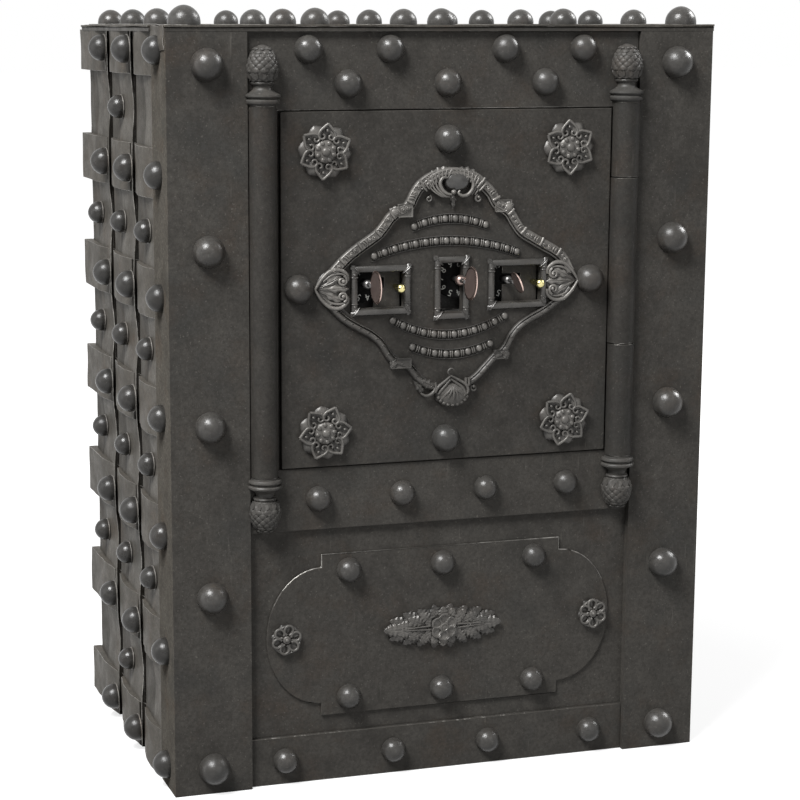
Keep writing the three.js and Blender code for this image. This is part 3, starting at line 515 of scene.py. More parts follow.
def metal_paint(name, colour, roughness, metallic=1.0, dull=0.12):
    """Bare metal with faint handling marks."""
    paint = Paint(name, colour, roughness, metallic)
    marks = paint.ranged(paint.noise(90, 5, 0.65), 0.35, 0.7)
    paint.colour(paint.blend(marks, colour, tint(colour, 0.72)))
    paint.roughness(paint.ranged(marks, 0, 1, roughness, roughness + dull))
    fine = paint.noise(700, 3, 0.6, paint.stretched((1, 1, 0.15)))
    paint.normal(paint.relief(fine, 0.00004))
    return paint.material


def oak_paint(name, colour):
    """Old oak with an upright grain."""
    paint = Paint(name, colour, 0.7, 0.0)
    grain = paint.noise(160, 6, 0.6, paint.stretched((1, 1, 0.06)))
    paint.colour(paint.blend(paint.ranged(grain, 0.35, 0.65), tint(colour, 0.55), colour))
    paint.normal(paint.relief(grain, 0.0004))
    return paint.material


PAINTS = {}


# Painted shade and rub on castings, along Y: where the ground ends and the painted shade is
# darkest, where the paint is full, and where the tops are rubbed lighter, partly wear and partly
# painted highlight
DOOR_SHADE_AND_RUB = (-0.1782, -0.1806, -0.1836)
LOW_SHADE_AND_RUB = (-0.1782, -0.1806, -0.1852)
ROW_SHADE_AND_RUB = (-0.1780, -0.1793, -0.1812)
PANEL_SHADE_AND_RUB = (-0.1742, -0.1765, -0.1795)
FRAME_SHADE_AND_RUB = (-0.1783, -0.1796, -0.1850)

# Paint, material, colour and its factor, roughness, metal, wave, grain, specular and crest (painted
# shade and rub)
IRON_PAINTS = (
    ("plate", "plate_graphite", "plate", 1.0, 0.48, 0.05, 0.0006, 0.00012, 0.10, None),
    ("door", "door_graphite", "plate", 0.87, 0.48, 0.05, 0.0006, 0.00012, 0.10, None),
    ("turned", "turned_graphite", "plate", 0.68, 0.46, 0.05, 0.0003, 0.00012, 0.10, None),
    ("strap", "strap_graphite", "strap", 0.93, 0.52, 0.05, 0.0008, 0.00012, 0.06, None),
    # The rear half of the straps on the left side: a darker copy of the strap paint, painted shade
    ("shade", "strap_shade", "strap", 0.66, 0.56, 0.05, 0.0008, 0.00012, 0.04, None),
    # Near-black without gloss for gaps, seams and hidden sheets: painted shade
    ("recess", "recess_soot", "strap", 0.20, 0.8, 0.0, 0.0004, 0.00012, 0.0, None),
    ("flange", "flange_graphite", "strap", 1.06, 0.60, 0.0, 0.0008, 0.00012, 0.0, None),
    ("cast", "cast_graphite", "cast", 0.85, 0.42, 0.05, 0.0002, 0.00010, 0.16, None),
    # Lower half of the cartouche: a darker copy of the door casting paint, painted shade
    ("low_cast", "cast_low_on_the_door", "cast", 0.66, 0.40, 0.1, 0.0002, 0.00010, 0.20,
     LOW_SHADE_AND_RUB),
    ("gloss", "glossy_cabochon", "cast", 0.50, 0.22, 0.0, 0.0001, 0.00005, 0.50, None),
    ("row_cast", "cast_rows", "cast", 1.0, 0.38, 0.2, 0.0001, 0.00005, 0.30, ROW_SHADE_AND_RUB),
    ("rosette_cast", "cast_rosettes", "cast", 0.74, 0.38, 0.25, 0.0002, 0.00010, 0.28,
     DOOR_SHADE_AND_RUB),
    ("door_cast", "cast_on_the_door", "cast", 1.0, 0.38, 0.25, 0.0002, 0.00010, 0.32,
     DOOR_SHADE_AND_RUB),
    ("panel_cast", "cast_on_the_panel", "cast", 0.68, 0.38, 0.25, 0.0002, 0.00010, 0.28,
     PANEL_SHADE_AND_RUB),
    ("nail", "nail_graphite", "cast", 0.60, 0.29, 0.0, 0.0010, 0.00012, 0.27, None),
    # Nails on the left side: a darker copy of the nail paint, painted shade
    ("side_nail", "side_nail_graphite", "cast", 0.33, 0.29, 0.0, 0.0010, 0.00012, 0.27, None),
    ("frame", "window_frame_graphite", "cast", 0.60, 0.27, 0.25, 0.0004, 0.00010, 0.45,
     FRAME_SHADE_AND_RUB),
    # Lips of the side nails: much lighter, partly rubbed wear and partly painted highlight
    ("nail_rim", "nail_rim", "cast", 3.2, 0.36, 0.4, 0.0003, 0.00012, 0.20, None),
    ("dark", "inner_sheet", "dark", 1.0, 0.6, 0.2, 0.0004, 0.00012, 0.10, None),
    ("dial", "dial_black", "black", 1.0, 0.7, 0.0, 0.0001, 0.00005, 0.03, None),
)

# Paint, material, colour and its factor, roughness, metal and how much the marks dull it
METAL_PAINTS = (
    ("figure", "dial_figures", "pale", 1.0, 0.45, 0.3, 0.12),
    ("steel", "dull_steel", "steel", 0.42, 0.44, 1.0, 0.12),
    # Faces of the thumb-turn discs: a very dark copy of the coppery steel, painted dark reflection
    ("turn", "coppery_steel", "turn", 0.17, 0.34, 0.5, 0.10),
    ("turn_rim", "bright_coppery_rim", "turn", 1.0, 0.22, 1.0, 0.10),
    ("boss", "dark_steel_boss", "steel", 0.35, 0.28, 0.9, 0.10),
    ("turn_boss", "coppery_boss", "turn", 0.45, 0.26, 0.9, 0.10),
    ("brass", "pale_brass", "brass", 1.0, 0.18, 1.0, 0.10),
)


def mix_paints(finish):
    """Make every material once, from the finish settings."""
    colours = {name: tuple(getattr(finish, name)) for name in StrongboxFinish.__annotations__}
    colours["black"] = (0.006, 0.006, 0.006)
    colours["pale"] = (0.30, 0.30, 0.28)
    for key, name, base, factor, *settings in IRON_PAINTS:
        PAINTS[key] = iron_paint(name, tint(colours[base], factor), *settings)
    for key, name, base, factor, *settings in METAL_PAINTS:
        PAINTS[key] = metal_paint(name, tint(colours[base], factor), *settings)
    for key, name, base, factor, share in (("worn", "worn_edge", "plate", 1.0, 0.35),
                                           # Lighter rubbed edges: partly wear and partly painted
                                           # highlight
                                           ("bright_worn", "bright_worn_edge", "plate", 0.85, 0.95),
                                           ("strap_worn", "worn_strap_edge", "strap", 1.35, 0.75)):
        PAINTS[key] = worn_paint(name, colours[base], tint(colours["worn"], factor), share)
    PAINTS["oak"] = oak_paint("old_oak", colours["oak"])


class STRONGBOX_OT_stage(bpy.types.Operator):
    """Set up the floor, the studio light and the camera"""
    bl_idname = "strongbox.stage"
    bl_label = "Stage"

    def execute(self, context):
        mix_paints(context.scene.strongbox_finish)
        self.floor()
        self.world(context.scene)
        self.lamps()
        self.camera(context.scene)
        context.scene.view_settings.view_transform = "Standard"
        return {"FINISHED"}

    def seen_white(self, nodes, links):
        """1 for camera, glossy and transmission rays."""
        path = nodes.new("ShaderNodeLightPath")
        total = path.outputs["Is Camera Ray"]
        for name in ("Is Glossy Ray", "Is Transmission Ray"):
            node = nodes.new("ShaderNodeMath")
            node.operation = "MAXIMUM"
            links.new(total, node.inputs[0])
            links.new(path.outputs[name], node.inputs[1])
            total = node.outputs["Value"]
        return total

    def floor(self):
        """A wide pale floor that keeps the shadow and meets the white background."""
        clear()
        bpy.ops.mesh.primitive_plane_add(size=60)
        floor = bpy.context.object
        floor.name = "floor"
        paint = Paint("floor_white", (0.24, 0.24, 0.24), 0.9, 0.0, 0.0)
        glow = paint.nodes.new("ShaderNodeEmission")
        added = paint.nodes.new("ShaderNodeAddShader")
        away = paint.nodes.new("ShaderNodeVectorMath")
        away.operation = "LENGTH"
        paint.links.new(paint.place, away.inputs[0])
        level = paint.ranged(away.outputs["Value"], 0.45, 1.6, 0.74, 1.0)
        seen = self.seen_white(paint.nodes, paint.links)
        paint.links.new(paint.times(seen, level), glow.inputs["Strength"])
        paint.links.new(paint.shader.outputs["BSDF"], added.inputs[0])
        paint.links.new(glow.outputs["Emission"], added.inputs[1])
        paint.links.new(added.outputs["Shader"], paint.nodes["Material Output"].inputs["Surface"])
        painted(floor, paint.material)

    def world(self, scene):
        """White behind the box and an even pale light on it."""
        world = bpy.data.worlds.new("studio")
        scene.world = world
        world.use_nodes = True
        nodes = world.node_tree.nodes
        links = world.node_tree.links
        light = nodes["Background"]
        light.inputs["Color"].default_value = (0.98, 0.99, 1.0, 1)
        light.inputs["Strength"].default_value = 0.13
        white = nodes.new("ShaderNodeBackground")
        white.inputs["Color"].default_value = (1, 1, 1, 1)
        white.inputs["Strength"].default_value = 1.0
        mixed = nodes.new("ShaderNodeMixShader")
        links.new(self.seen_white(nodes, links), mixed.inputs["Fac"])
        links.new(light.outputs["Background"], mixed.inputs[1])
        links.new(white.outputs["Background"], mixed.inputs[2])
        links.new(mixed.outputs["Shader"], nodes["World Output"].inputs["Surface"])

    def lamps(self):
        """A key from high on the left, weak fills and a light from high on the right."""
        for name, place, size, power in LAMPS:
            clear()
            bpy.ops.object.light_add(type="AREA", location=place)
            lamp = bpy.context.object
            lamp.name = name
            lamp.data.size = size
            lamp.data.energy = power
            aim = Vector((0, 0, 0.36)) - Vector(place)
            lamp.rotation_euler = aim.to_track_quat("-Z", "Y").to_euler()

    def camera(self, scene):
        """The place and lens from which the box is seen, turned to its left front corner."""
        clear()
        bpy.ops.object.camera_add(
            location=(-0.69416, -2.02303, 0.69423),
            rotation=(radians(78.942), 0, radians(-17.579)))
        camera = bpy.context.object
        camera.name = "camera"
        camera.data.sensor_width = 36
        camera.data.lens = 97.69
        camera.data.shift_x = 0.0853
        camera.data.shift_y = 0.0611
        scene.camera = camera


class STRONGBOX_OT_plates(bpy.types.Operator):
    """Dress the carcass plates, the irons at the corners and the straps of the front"""
    bl_idname = "strongbox.plates"
    bl_label = "Plates and corner irons"

    def execute(self, context):
        edge = context.scene.strongbox_sizes.edge_round
        for node in ("bottom_plate", "front_plate"):
            self.plate(node, "plate", edge)
        # The sheets behind the lattices and under the lid show only in gaps: near-black, painted
        # shade
        for node in ("top_plate", "back_plate", "left_side_plate", "right_side_plate"):
            self.plate(node, "recess", edge)
        for node, level in PLATE_FACES.items():
            body = "door" if node == "door_plate" else "carcass"
            paint = "door" if node == "door_plate" else "plate"
            self.plate(node, paint, edge, body, ((0, level + TOUCH, 0), (0, 1, 0)))
        for side, sign in (("left", -1), ("right", 1)):
            self.plate(side + "_corner_iron", "plate", edge * 1.5, "carcass",
                       ((0, CARCASS_FRONT + TOUCH, 0), (0, 1, 0)),
                       ((sign * (CARCASS_SIDE - TOUCH), 0, 0), (-sign, 0, 0)),
                       slot="strap_iron")
        self.lip()
        self.tab()
        return {"FINISHED"}

    def lip(self):
        """The edge of the lid over the front and the sides: a thin sheet over a seam painted
        near-black as shadow.
        """
        for name, low, high, out, paints in LID_EDGES:
            parts = [slab((-0.2605, -0.1804 - out, low), (0.2605, -0.1792, high))]
            for side in (-1, 1):
                across = sorted((side * CARCASS_SIDE, side * (0.2630 + out)))
                parts.append(slab((across[0], -0.1300, low), (across[1], 0.1700, high)))
            obj = joined(parts, name)
            edit(obj)
            bpy.ops.mesh.subdivide(number_cuts=23)
            bpy.ops.object.mode_set(mode="OBJECT")
            if name == "top_plate_lip":
                shaped(obj, lambda place: Vector((
                    place.x, place.y, place.z + 0.0004 * sin(place.x * 31 + place.y * 40))))
            painted(obj, *[PAINTS[paint] for paint in paints])
            eased(obj, 0.0001 if name == "top_plate_edge" else 0.0005)
            placed(obj, name, "carcass", "plate_iron", "top_plate")

    def tab(self):
        """The top of the left corner iron, folded over itself and rubbed bare at the front."""
        obj = slab((-0.2614, -0.1796, 0.6725), (-0.2600, -0.1275, 0.6936))
        edit(obj)
        bpy.ops.mesh.subdivide(number_cuts=9)
        bpy.ops.object.mode_set(mode="OBJECT")
        shaped(obj, lambda place: Vector((
            place.x - 0.0005 * sin(place.z * 400) * swell(-place.x, 0.2605, 0.2612),
            place.y, place.z + 0.0005 * sin(place.y * 130))))
        painted(obj, PAINTS["strap"], PAINTS["strap_worn"])
        eased(obj, 0.0005)
        placed(obj, "left_corner_tab", "carcass", "strap_iron", "left_corner_iron")

    def plate(self, node, paint, edge, body="carcass", *cuts, slot="plate_iron"):
        """One plate with its nail heads cut away and its edges worn."""
        obj = cad_copy(node, *cuts)
        # The relief plate and head strap take the lighter rubbed edges: partly wear and partly
        # painted highlight
        worn = "bright_worn" if node in ("lower_relief_plate", "head_strap") else "worn"
        if node in ("sill_strap", "door_plate"):
            worn = paint
        painted(obj, PAINTS[paint], PAINTS[worn], PAINTS["flange"])
        if "corner" in node:
            tone(obj, 2, lambda side: abs(side.calc_center_median().x) > 0.2595)
        eased(obj, edge, clamp=node != "lower_relief_plate")
        # On the relief plate the lighter edge is kept only along the top, as painted highlight
        if node == "lower_relief_plate":
            low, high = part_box(node)
            tone(obj, 0, lambda side: side.calc_center_median().z < low.z + 0.70 * (high.z - low.z))
        placed(obj, node + "_worn", body, slot, node)


class Face:
    """One side of the carcass, with the way along it, the way up it and the way out."""

    def __init__(self, node, along, up, out, strap_level, band_level, seat_level):
        self.node = node
        self.basis = Matrix((along, up, out)).transposed().to_4x4()
        self.strap_level = strap_level
        self.band_level = band_level
        self.seat_level = seat_level


FACES = (
    Face("left_lattice", (0, 1, 0), (0, 0, 1), (-1, 0, 0), 0.258, 0.263, 0.254),
    Face("right_lattice", (0, 1, 0), (0, 0, 1), (1, 0, 0), 0.258, 0.263, 0.254),
    Face("back_lattice", (1, 0, 0), (0, 0, 1), (0, 1, 0), 0.175, 0.180, 0.171),
    Face("top_lattice", (1, 0, 0), (0, 1, 0), (0, 0, 1), 0.692, 0.695, 0.689),
)


def swell(value, start, end):
    """0 before the start, 1 after the end and a smooth rise between."""
    share = min(1.0, max(0.0, (value - start) / (end - start)))
    return share * share * (3 - 2 * share)


class STRONGBOX_OT_lattices(bpy.types.Operator):
    """Model the upright straps and the bands over them on the sides, back and top"""
    bl_idname = "strongbox.lattices"
    bl_label = "Strap lattices"

    def execute(self, context):
        self.sizes = context.scene.strongbox_sizes
        self.dice = random.Random(7)
        bands = [(BAND_PITCH * row, BAND_PITCH * row + BAND_WIDTH) for row in range(6)]
        bands.append((BAND_PITCH * 6, TOP_BAND_EDGE))
        side_straps = strips(SIDE_STRAP_FRONT, SIDE_STRAP_BACK, 3, STRAP_GAP)
        side_straps[0] = (FLANGE_BACK, side_straps[0][1])
        cross_straps = strips(-CROSS_STRAP_EDGE, CROSS_STRAP_EDGE, 4, STRAP_GAP)
        lid_bands = [(place - BAND_WIDTH / 2, place + BAND_WIDTH / 2)
                     for place in LID_BAND_PLACES]
        for face in FACES[:2]:
            self.weave(face, side_straps, bands, (FLANGE_BACK, CARCASS_BACK), (0, LATTICE_TOP))
        self.weave(FACES[2], cross_straps, bands, (-CROSS_BAND_EDGE, CROSS_BAND_EDGE),
                   (0, LATTICE_TOP))
        self.weave(FACES[3], cross_straps, lid_bands, (-CARCASS_SIDE, CARCASS_SIDE),
                   (CARCASS_FRONT, LID_BAND_BACK))
        return {"FINISHED"}

    def weave(self, face, straps, bands, reach, rise):
        """All straps and bands of one face, each a piece of its own."""
        for number, (start, end) in enumerate(straps, 1):
            obj = self.strip(face, (start, end), rise, face.strap_level, 0.010)
            self.bow(obj, face, (start, end), bands)
            self.forge(obj, face, f"{face.node}_strap_{number}", straps)
        for number, (low, high) in enumerate(bands, 1):
            obj = self.strip(face, reach, (low, high), face.band_level, 0.004)
            self.dip(obj, face, straps)
            self.forge(obj, face, f"{face.node}_band_{number}", straps)

    def strip(self, face, across, up, level, step):
        """A slab of sheet iron with a fine grid, lying on the seat of its face."""
        clear()
        columns = max(4, int((across[1] - across[0]) / step))
        rows = max(4, int((up[1] - up[0]) / step))
        bpy.ops.mesh.primitive_grid_add(x_subdivisions=columns, y_subdivisions=rows, size=1)
        obj = bpy.context.object
        obj.scale = (across[1] - across[0], up[1] - up[0], 1)
        obj.location = ((across[0] + across[1]) / 2, (up[0] + up[1]) / 2, level)
        settle(obj)
        apply_modifier(obj, "SOLIDIFY", thickness=level - face.seat_level, offset=-1)
        return obj

    def bow(self, obj, face, edges, bands):
        """Let a strap sink between the bands and fall away at its rear half."""
        sink = self.sizes.strap_bow * (face.strap_level - face.seat_level) / 0.004
        width = edges[1] - edges[0]

        def rule(place):
            if place.z < (face.strap_level + face.seat_level) / 2:
                return place
            drop = 0.0
            for below, above in zip(bands, bands[1:]):
                if below[1] < place.y < above[0]:
                    share = (place.y - below[1]) / (above[0] - below[1])
                    drop = sink * sin(pi * share) ** 1.5
            rear = max(0.0, (place.x - edges[0]) / width - 0.52)
            sunk = max(place.z - drop - rear * sink * 2.0, face.seat_level + 0.0014)
            return Vector((place.x, place.y, sunk))

        return shaped(obj, rule)

    def dip(self, obj, face, straps):
        """Let a band arch over each strap and sink between two straps."""
        proud = face.band_level - face.strap_level
        depth = self.sizes.band_dip * (face.band_level - face.seat_level) / 0.009

        def rule(place):
            if place.z < (face.band_level + face.seat_level) / 2:
                return place
            drop = 0.0
            for start, end in straps:
                if start <= place.x <= end:
                    share = (place.x - start) / (end - start)
                    fall = swell(share, 0.60, 1.0) if end < straps[-1][1] else 0.0
                    drop = proud * 0.9 * max(1 - swell(share, 0.0, 0.40), fall)
            for before, after in zip(straps, straps[1:]):
                away = abs(place.x - (before[1] + after[0]) / 2)
                drop = max(drop, (proud + depth) * (1 - swell(away, 0.0055, 0.010)))
            return Vector((place.x, place.y, place.z - drop))

        return shaped(obj, rule)

    def forge(self, obj, face, name, straps):
        """Hammer the sheet uneven, wear its edges and set it on its face."""
        height = self.sizes.forge_wave
        phase = [self.dice.uniform(0, 6.28) for _ in range(4)]
        low = min(vertex.co.z for vertex in obj.data.vertices)

        def rule(place):
            if place.z < low + TOUCH:
                return place
            wave = sin(place.x * 90 + phase[0]) * sin(place.y * 70 + phase[1])
            wave += 0.6 * sin(place.x * 210 + phase[2]) * sin(place.y * 160 + phase[3])
            sunk = height * (0.5 if "band" in name else 0.3) * (wave - 1.6)
            return Vector((place.x, place.y, max(place.z + sunk, low + 0.0006)))

        shaped(obj, rule)
        painted(obj, PAINTS["strap"], PAINTS["strap_worn"], PAINTS["recess"], PAINTS["shade"])
        if "strap" in name:
            places = [vertex.co.x for vertex in obj.data.vertices]
            ridge = min(places) + 0.52 * (max(places) - min(places))
            # On the left side the rear part of each strap, past its ridge, takes a darker copy of
            # the strap paint: painted shade
            if face.node == "left_lattice":
                tone(obj, 3, lambda side: side.calc_center_median().x > ridge)
            # The side edges of the straps are near-black: painted shade
            tone(obj, 2, lambda side: abs(side.normal.x) > 0.7)
        else:
            # The side edges of the bands and where they sink between straps are near-black: painted
            # shade
            slots = [(before[1] - 0.002, after[0] + 0.006)
                     for before, after in zip(straps, straps[1:])]
            tone(obj, 2, lambda side: abs(side.normal.x) > 0.35
                 or any(start < side.calc_center_median().x < end for start, end in slots))
        obj.data.transform(face.basis)
        closed(obj)
        eased(obj, self.sizes.edge_round * (1.0 if "strap" in name else 1.5))
        placed(obj, name, "carcass", "strap_iron", face.node)


# Carrier, its body, axis and sign of the way out, level of the tips, width and height of a head
NAIL_ROWS = (
    ("left_corner_iron", "carcass", Y, -1, 0.198, 0.031, 0.018),
    ("right_corner_iron", "carcass", Y, -1, 0.198, 0.031, 0.018),
    ("left_corner_iron", "carcass", X, -1, 0.275, 0.027, 0.015),
    ("right_corner_iron", "carcass", X, 1, 0.275, 0.027, 0.015),
    ("head_strap", "carcass", Y, -1, 0.191, 0.027, 0.015),
    ("sill_strap", "carcass", Y, -1, 0.190, 0.025, 0.014),
    ("foot_strap", "carcass", Y, -1, 0.189, 0.025, 0.014),
    ("lower_relief_plate", "carcass", Y, -1, 0.188, 0.025, 0.014),
    ("door_plate", "door", Y, -1, 0.194, 0.028, 0.016),
    ("left_lattice", "carcass", X, -1, 0.278, 0.027, 0.015),
    ("left_lattice", "carcass", X, -1, 0.271, 0.023, 0.013),
    ("right_lattice", "carcass", X, 1, 0.278, 0.027, 0.015),
    ("right_lattice", "carcass", X, 1, 0.271, 0.023, 0.013),
    ("back_lattice", "carcass", Y, 1, 0.195, 0.027, 0.015),
    ("back_lattice", "carcass", Y, 1, 0.188, 0.023, 0.013),
    ("top_lattice", "carcass", Z, 1, 0.713, 0.031, 0.018),
    ("top_lattice", "carcass", Z, 1, 0.710, 0.027, 0.015),
)


def tips(node, axis, sign, level):
    """The points of a node that lie at a level along an axis, one for each nail head."""
    found = []
    for vertex in bpy.data.objects[node].data.vertices:
        at_level = abs(vertex.co[axis] * sign - level) < 2 * TOUCH
        if at_level and all((vertex.co - other).length > 0.004 for other in found):
            found.append(vertex.co.copy())
    return sorted(found, key=lambda point: (round(point.z, 4), round(point.x, 4),
                                            round(point.y, 4)))


class STRONGBOX_OT_nails(bpy.types.Operator):
    """Forge the nail heads and set them in their carriers"""
    bl_idname = "strongbox.nails"
    bl_label = "Nail heads"

    def execute(self, context):
        sides = context.scene.strongbox_sizes.nail_sides
        dice = random.Random(31)
        carriers = {}
        for node, body, axis, sign, level, across, tall in NAIL_ROWS:
            pattern = self.head(across, tall, sides)
            # Nails on the left side take a darker copy of the nail paint: painted shade
            on_side = axis == X and sign < 0
            painted(pattern, PAINTS["side_nail" if on_side else "nail"], PAINTS["nail_rim"])
            # The lips of the nails on both sides are lighter: partly rubbed wear and partly painted
            # highlight
            if axis == X:
                tone(pattern, 1, lambda side: side.calc_center_median().z < TOUCH)
            out = Vector((0, 0, 0))
            out[axis] = sign
            for tip in tips(node, axis, sign, level):
                turn = out.to_track_quat("Z", "Y").to_matrix().to_4x4()
                spin = Matrix.Rotation(dice.uniform(0, 2 * pi), 4, "Z")
                lean = Matrix.Rotation(radians(dice.uniform(-2.5, 2.5)), 4, "X")
                size = Matrix.Scale(dice.uniform(0.955, 0.985), 4)
                foot = Matrix.Translation(tip - out * tall)
                twin = copied(pattern, foot @ turn @ lean @ spin @ size)
                carriers.setdefault((node, body), []).append(twin)
            removed(pattern)
        for (node, body), heads in carriers.items():
            obj = joined(heads, node + "_nails")
            smooth(obj, 60)
            slot = "plate_iron" if "strap" in node or "plate" in node else "strap_iron"
            placed(obj, node + "_nails", body, slot, node)
        return {"FINISHED"}

    def head(self, across, tall, sides):
        """One dome with a thin lip, standing on the origin."""
        clear()
        bpy.ops.mesh.primitive_uv_sphere_add(segments=sides, ring_count=16, radius=across / 2)
        obj = bpy.context.object
        cut_away(obj, (0, 0, -TOUCH), (0, 0, 1))
        edit(obj)
        bpy.ops.transform.resize(value=(0.97, 0.97, tall / (across / 2)))
        bpy.ops.object.mode_set(mode="OBJECT")
        edit(obj)
        choose(obj, "faces", lambda face: face.normal.z < -0.9)
        bpy.ops.mesh.extrude_region_move()
        bpy.ops.transform.resize(value=(1.03, 1.03, 1))
        bpy.ops.mesh.extrude_region_move(TRANSFORM_OT_translate={"value": (0, 0, -0.0008)})
        bpy.ops.object.mode_set(mode="OBJECT")

        def rule(place):
            fuller = 1 + 0.05 * sin(pi * min(1.0, max(0.0, place.z / tall)))
            return Vector((place.x * fuller, place.y * fuller, place.z))

        return shaped(obj, rule)


class STRONGBOX_OT_columns(bpy.types.Operator):
    """Turn the column on the left and the knuckles of the hinge on the right"""
    bl_idname = "strongbox.columns"
    bl_label = "Column and hinge knuckles"

    def execute(self, context):
        for node, body in (("left_column", "carcass"), ("hinge_knuckle_bottom", "carcass"),
                           ("door_knuckle", "door"), ("hinge_knuckle_top", "carcass")):
            low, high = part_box(node)
            across = round((low.x + high.x) / 2 / HALF_MM) * HALF_MM
            if node == "door_knuckle":
                across = COLUMN_ACROSS
            foot = low.z
            head = high.z
            if node in ("left_column", "hinge_knuckle_bottom"):
                foot -= COLUMN_OVERLAP
            if node in ("left_column", "hinge_knuckle_top"):
                head += COLUMN_OVERLAP
            obj = barrel((across, low.y + COLUMN_RADIUS), COLUMN_RADIUS, foot, head)
            if node == "left_column":
                cut_away(obj, (0, high.y, 0), (0, -1, 0))
            painted(obj, PAINTS["turned"], PAINTS["worn"])
            eased(obj, 0.0007)
            placed(obj, node + "_turned", body, "cast_iron", node)
        return {"FINISHED"}


def mould(columns, rows):
    """A unit grid to be shaped, its X running along a form and its Y across it."""
    clear()
    bpy.ops.mesh.primitive_grid_add(x_subdivisions=columns, y_subdivisions=rows, size=1)
    return bpy.context.object


def blade(length, width, bulge=0.7, lobes=0, notch=0.3, arch=0.15, rim=0.0, rib=0.1, curl=0.1,
          thick=0.0009, steps=(16, 8), pleats=0.0):
    """A cast leaf or petal along +X from the origin, its front towards +Z."""
    obj = mould(*steps)

    def rule(place):
        along = min(1.0, max(0.0, place.x + 0.5))
        across = place.y * 2
        body = sin(pi * along ** bulge) ** 0.8 if 0 < along < 1 else 0.0
        wave = 0.5 - 0.5 * cos(2 * pi * lobes * along) if lobes else 1.0
        half = width / 2 * body * (1 - notch * (1 - wave) if lobes else 1)
        edge = abs(across)
        height = arch * width * body * (1 - across * across)
        height += rim * width * body * edge ** 5
        height -= rib * width * body * max(0.0, 1 - edge / 0.22)
        if lobes:
            height -= 0.10 * width * body * edge * (1 - wave)
        height += curl * length * along ** 3
        height += pleats * width * body * (0.5 + 0.5 * cos(3 * pi * across)) * along
        sweep = 0.10 * length * edge * (1 - along) * body
        return Vector((length * along + sweep, across * half, height))

    shaped(obj, rule)
    apply_modifier(obj, "SOLIDIFY", thickness=thick, offset=-1)
    return closed(obj)


def smooth_line(points, steps=6):
    """Points along a soft line through the given ones."""
    line = []
    ends = [points[0], *points, points[-1]]
    for before, start, end, after in zip(ends, ends[1:], ends[2:], ends[3:]):
        b, s, e, a = (Vector(point) for point in (before, start, end, after))
        for step in range(steps):
            t = step / steps
            line.append(0.5 * (2 * s + (e - b) * t + (2 * b - 5 * s + 4 * e - a) * t * t
                               + (3 * s - b - 3 * e + a) * t ** 3))
    line.append(Vector(points[-1]))
    return line


def tube(points, radii):
    """A round cast rod along a line, with a radius for each point."""
    clear()
    curve = bpy.data.curves.new("rod", "CURVE")
    curve.dimensions = "3D"
    curve.bevel_depth = 1.0
    curve.bevel_resolution = 2
    curve.use_fill_caps = True
    spline = curve.splines.new("POLY")
    spline.points.add(len(points) - 1)
    for knot, place, radius in zip(spline.points, points, radii):
        knot.co = (*place, 1)
        knot.radius = radius
    obj = bpy.data.objects.new("rod", curve)
    bpy.context.collection.objects.link(obj)
    only(obj)
    bpy.ops.object.convert(target="MESH")
    return closed(bpy.context.object)


def tapered(points, thick, thin=None):
    """A rod along a soft line that thins towards both ends, or from one end to the other."""
    line = smooth_line(points)
    last = len(line) - 1
    if thin is None:
        radii = [thick * (0.35 + 0.65 * sin(pi * (0.08 + 0.84 * k / last)))
                 for k in range(last + 1)]
    else:
        radii = [thick + (thin - thick) * k / last for k in range(last + 1)]
    return tube(line, radii)


def volute(centre, outer, inner, start, turns, thick, height=0.0):
    """A flat scroll that winds inwards round a centre and ends in a bead."""
    steps = max(10, int(abs(turns) * 22))
    points = []
    for step in range(steps + 1):
        share = step / steps
        radius = outer + (inner - outer) * share ** 0.8
        angle = start + turns * 2 * pi * share
        points.append((centre[X] + radius * cos(angle), centre[Y] + radius * sin(angle), height))
    radii = [thick * (1 - 0.35 * step / steps) for step in range(steps + 1)]
    bead = ball((points[-1][X], points[-1][Y], height), (thick * 1.5,) * 3, 8, 6)
    return joined([tube(points, radii), bead], "volute")


def turned(profile, sides=40):
    """A closed turned form about the Z axis, from its radii and heights."""
    clear()
    mesh = bpy.data.meshes.new("profile")
    edges = [(k, k + 1) for k in range(len(profile) - 1)]
    mesh.from_pydata([(radius, 0, height) for radius, height in profile], edges, [])
    obj = bpy.data.objects.new("profile", mesh)
    bpy.context.collection.objects.link(obj)
    edit(obj)
    bpy.ops.mesh.spin(steps=sides, angle=2 * pi, center=(0, 0, 0), axis=(0, 0, 1))
    bpy.ops.object.mode_set(mode="OBJECT")
    return closed(obj)


def bent(obj, radius):
    """Bend a form that lies along +X to the left, or to the right with a negative radius."""
    return shaped(obj, lambda place: Vector((
        (radius - place.y) * sin(place.x / radius),
        radius - (radius - place.y) * cos(place.x / radius), place.z)))


def around(pattern, count, radius, start=0.0, height=0.0, tilt=0.0):
    """Copies of a blade set round a centre, each pointing outwards."""
    copies = []
    for number in range(count):
        turn = Matrix.Rotation(start + 2 * pi * number / count, 4, "Z")
        lean = Matrix.Rotation(-tilt, 4, "Y")
        copies.append(copied(pattern, turn @ Matrix.Translation((radius, 0, height)) @ lean))
    removed(pattern)
    return copies


FRONT = Matrix(((1, 0, 0), (0, 0, -1), (0, 1, 0))).to_4x4()


def on_front(obj, across, level, rise):
    """Set a form modelled on the XY plane on the front of the box, facing the viewer."""
    obj.data.transform(Matrix.Translation((across, level, rise)) @ FRONT)
    return obj


def cast_piece(parts, name, body, *nodes, angle=50, paint="door_cast"):
    """Join the parts of a casting and set it on its body."""
    obj = joined(parts, name)
    if paint:
        painted(obj, PAINTS[paint])
    smooth(obj, angle)
    return placed(obj, name, body, "cast_iron", *nodes)


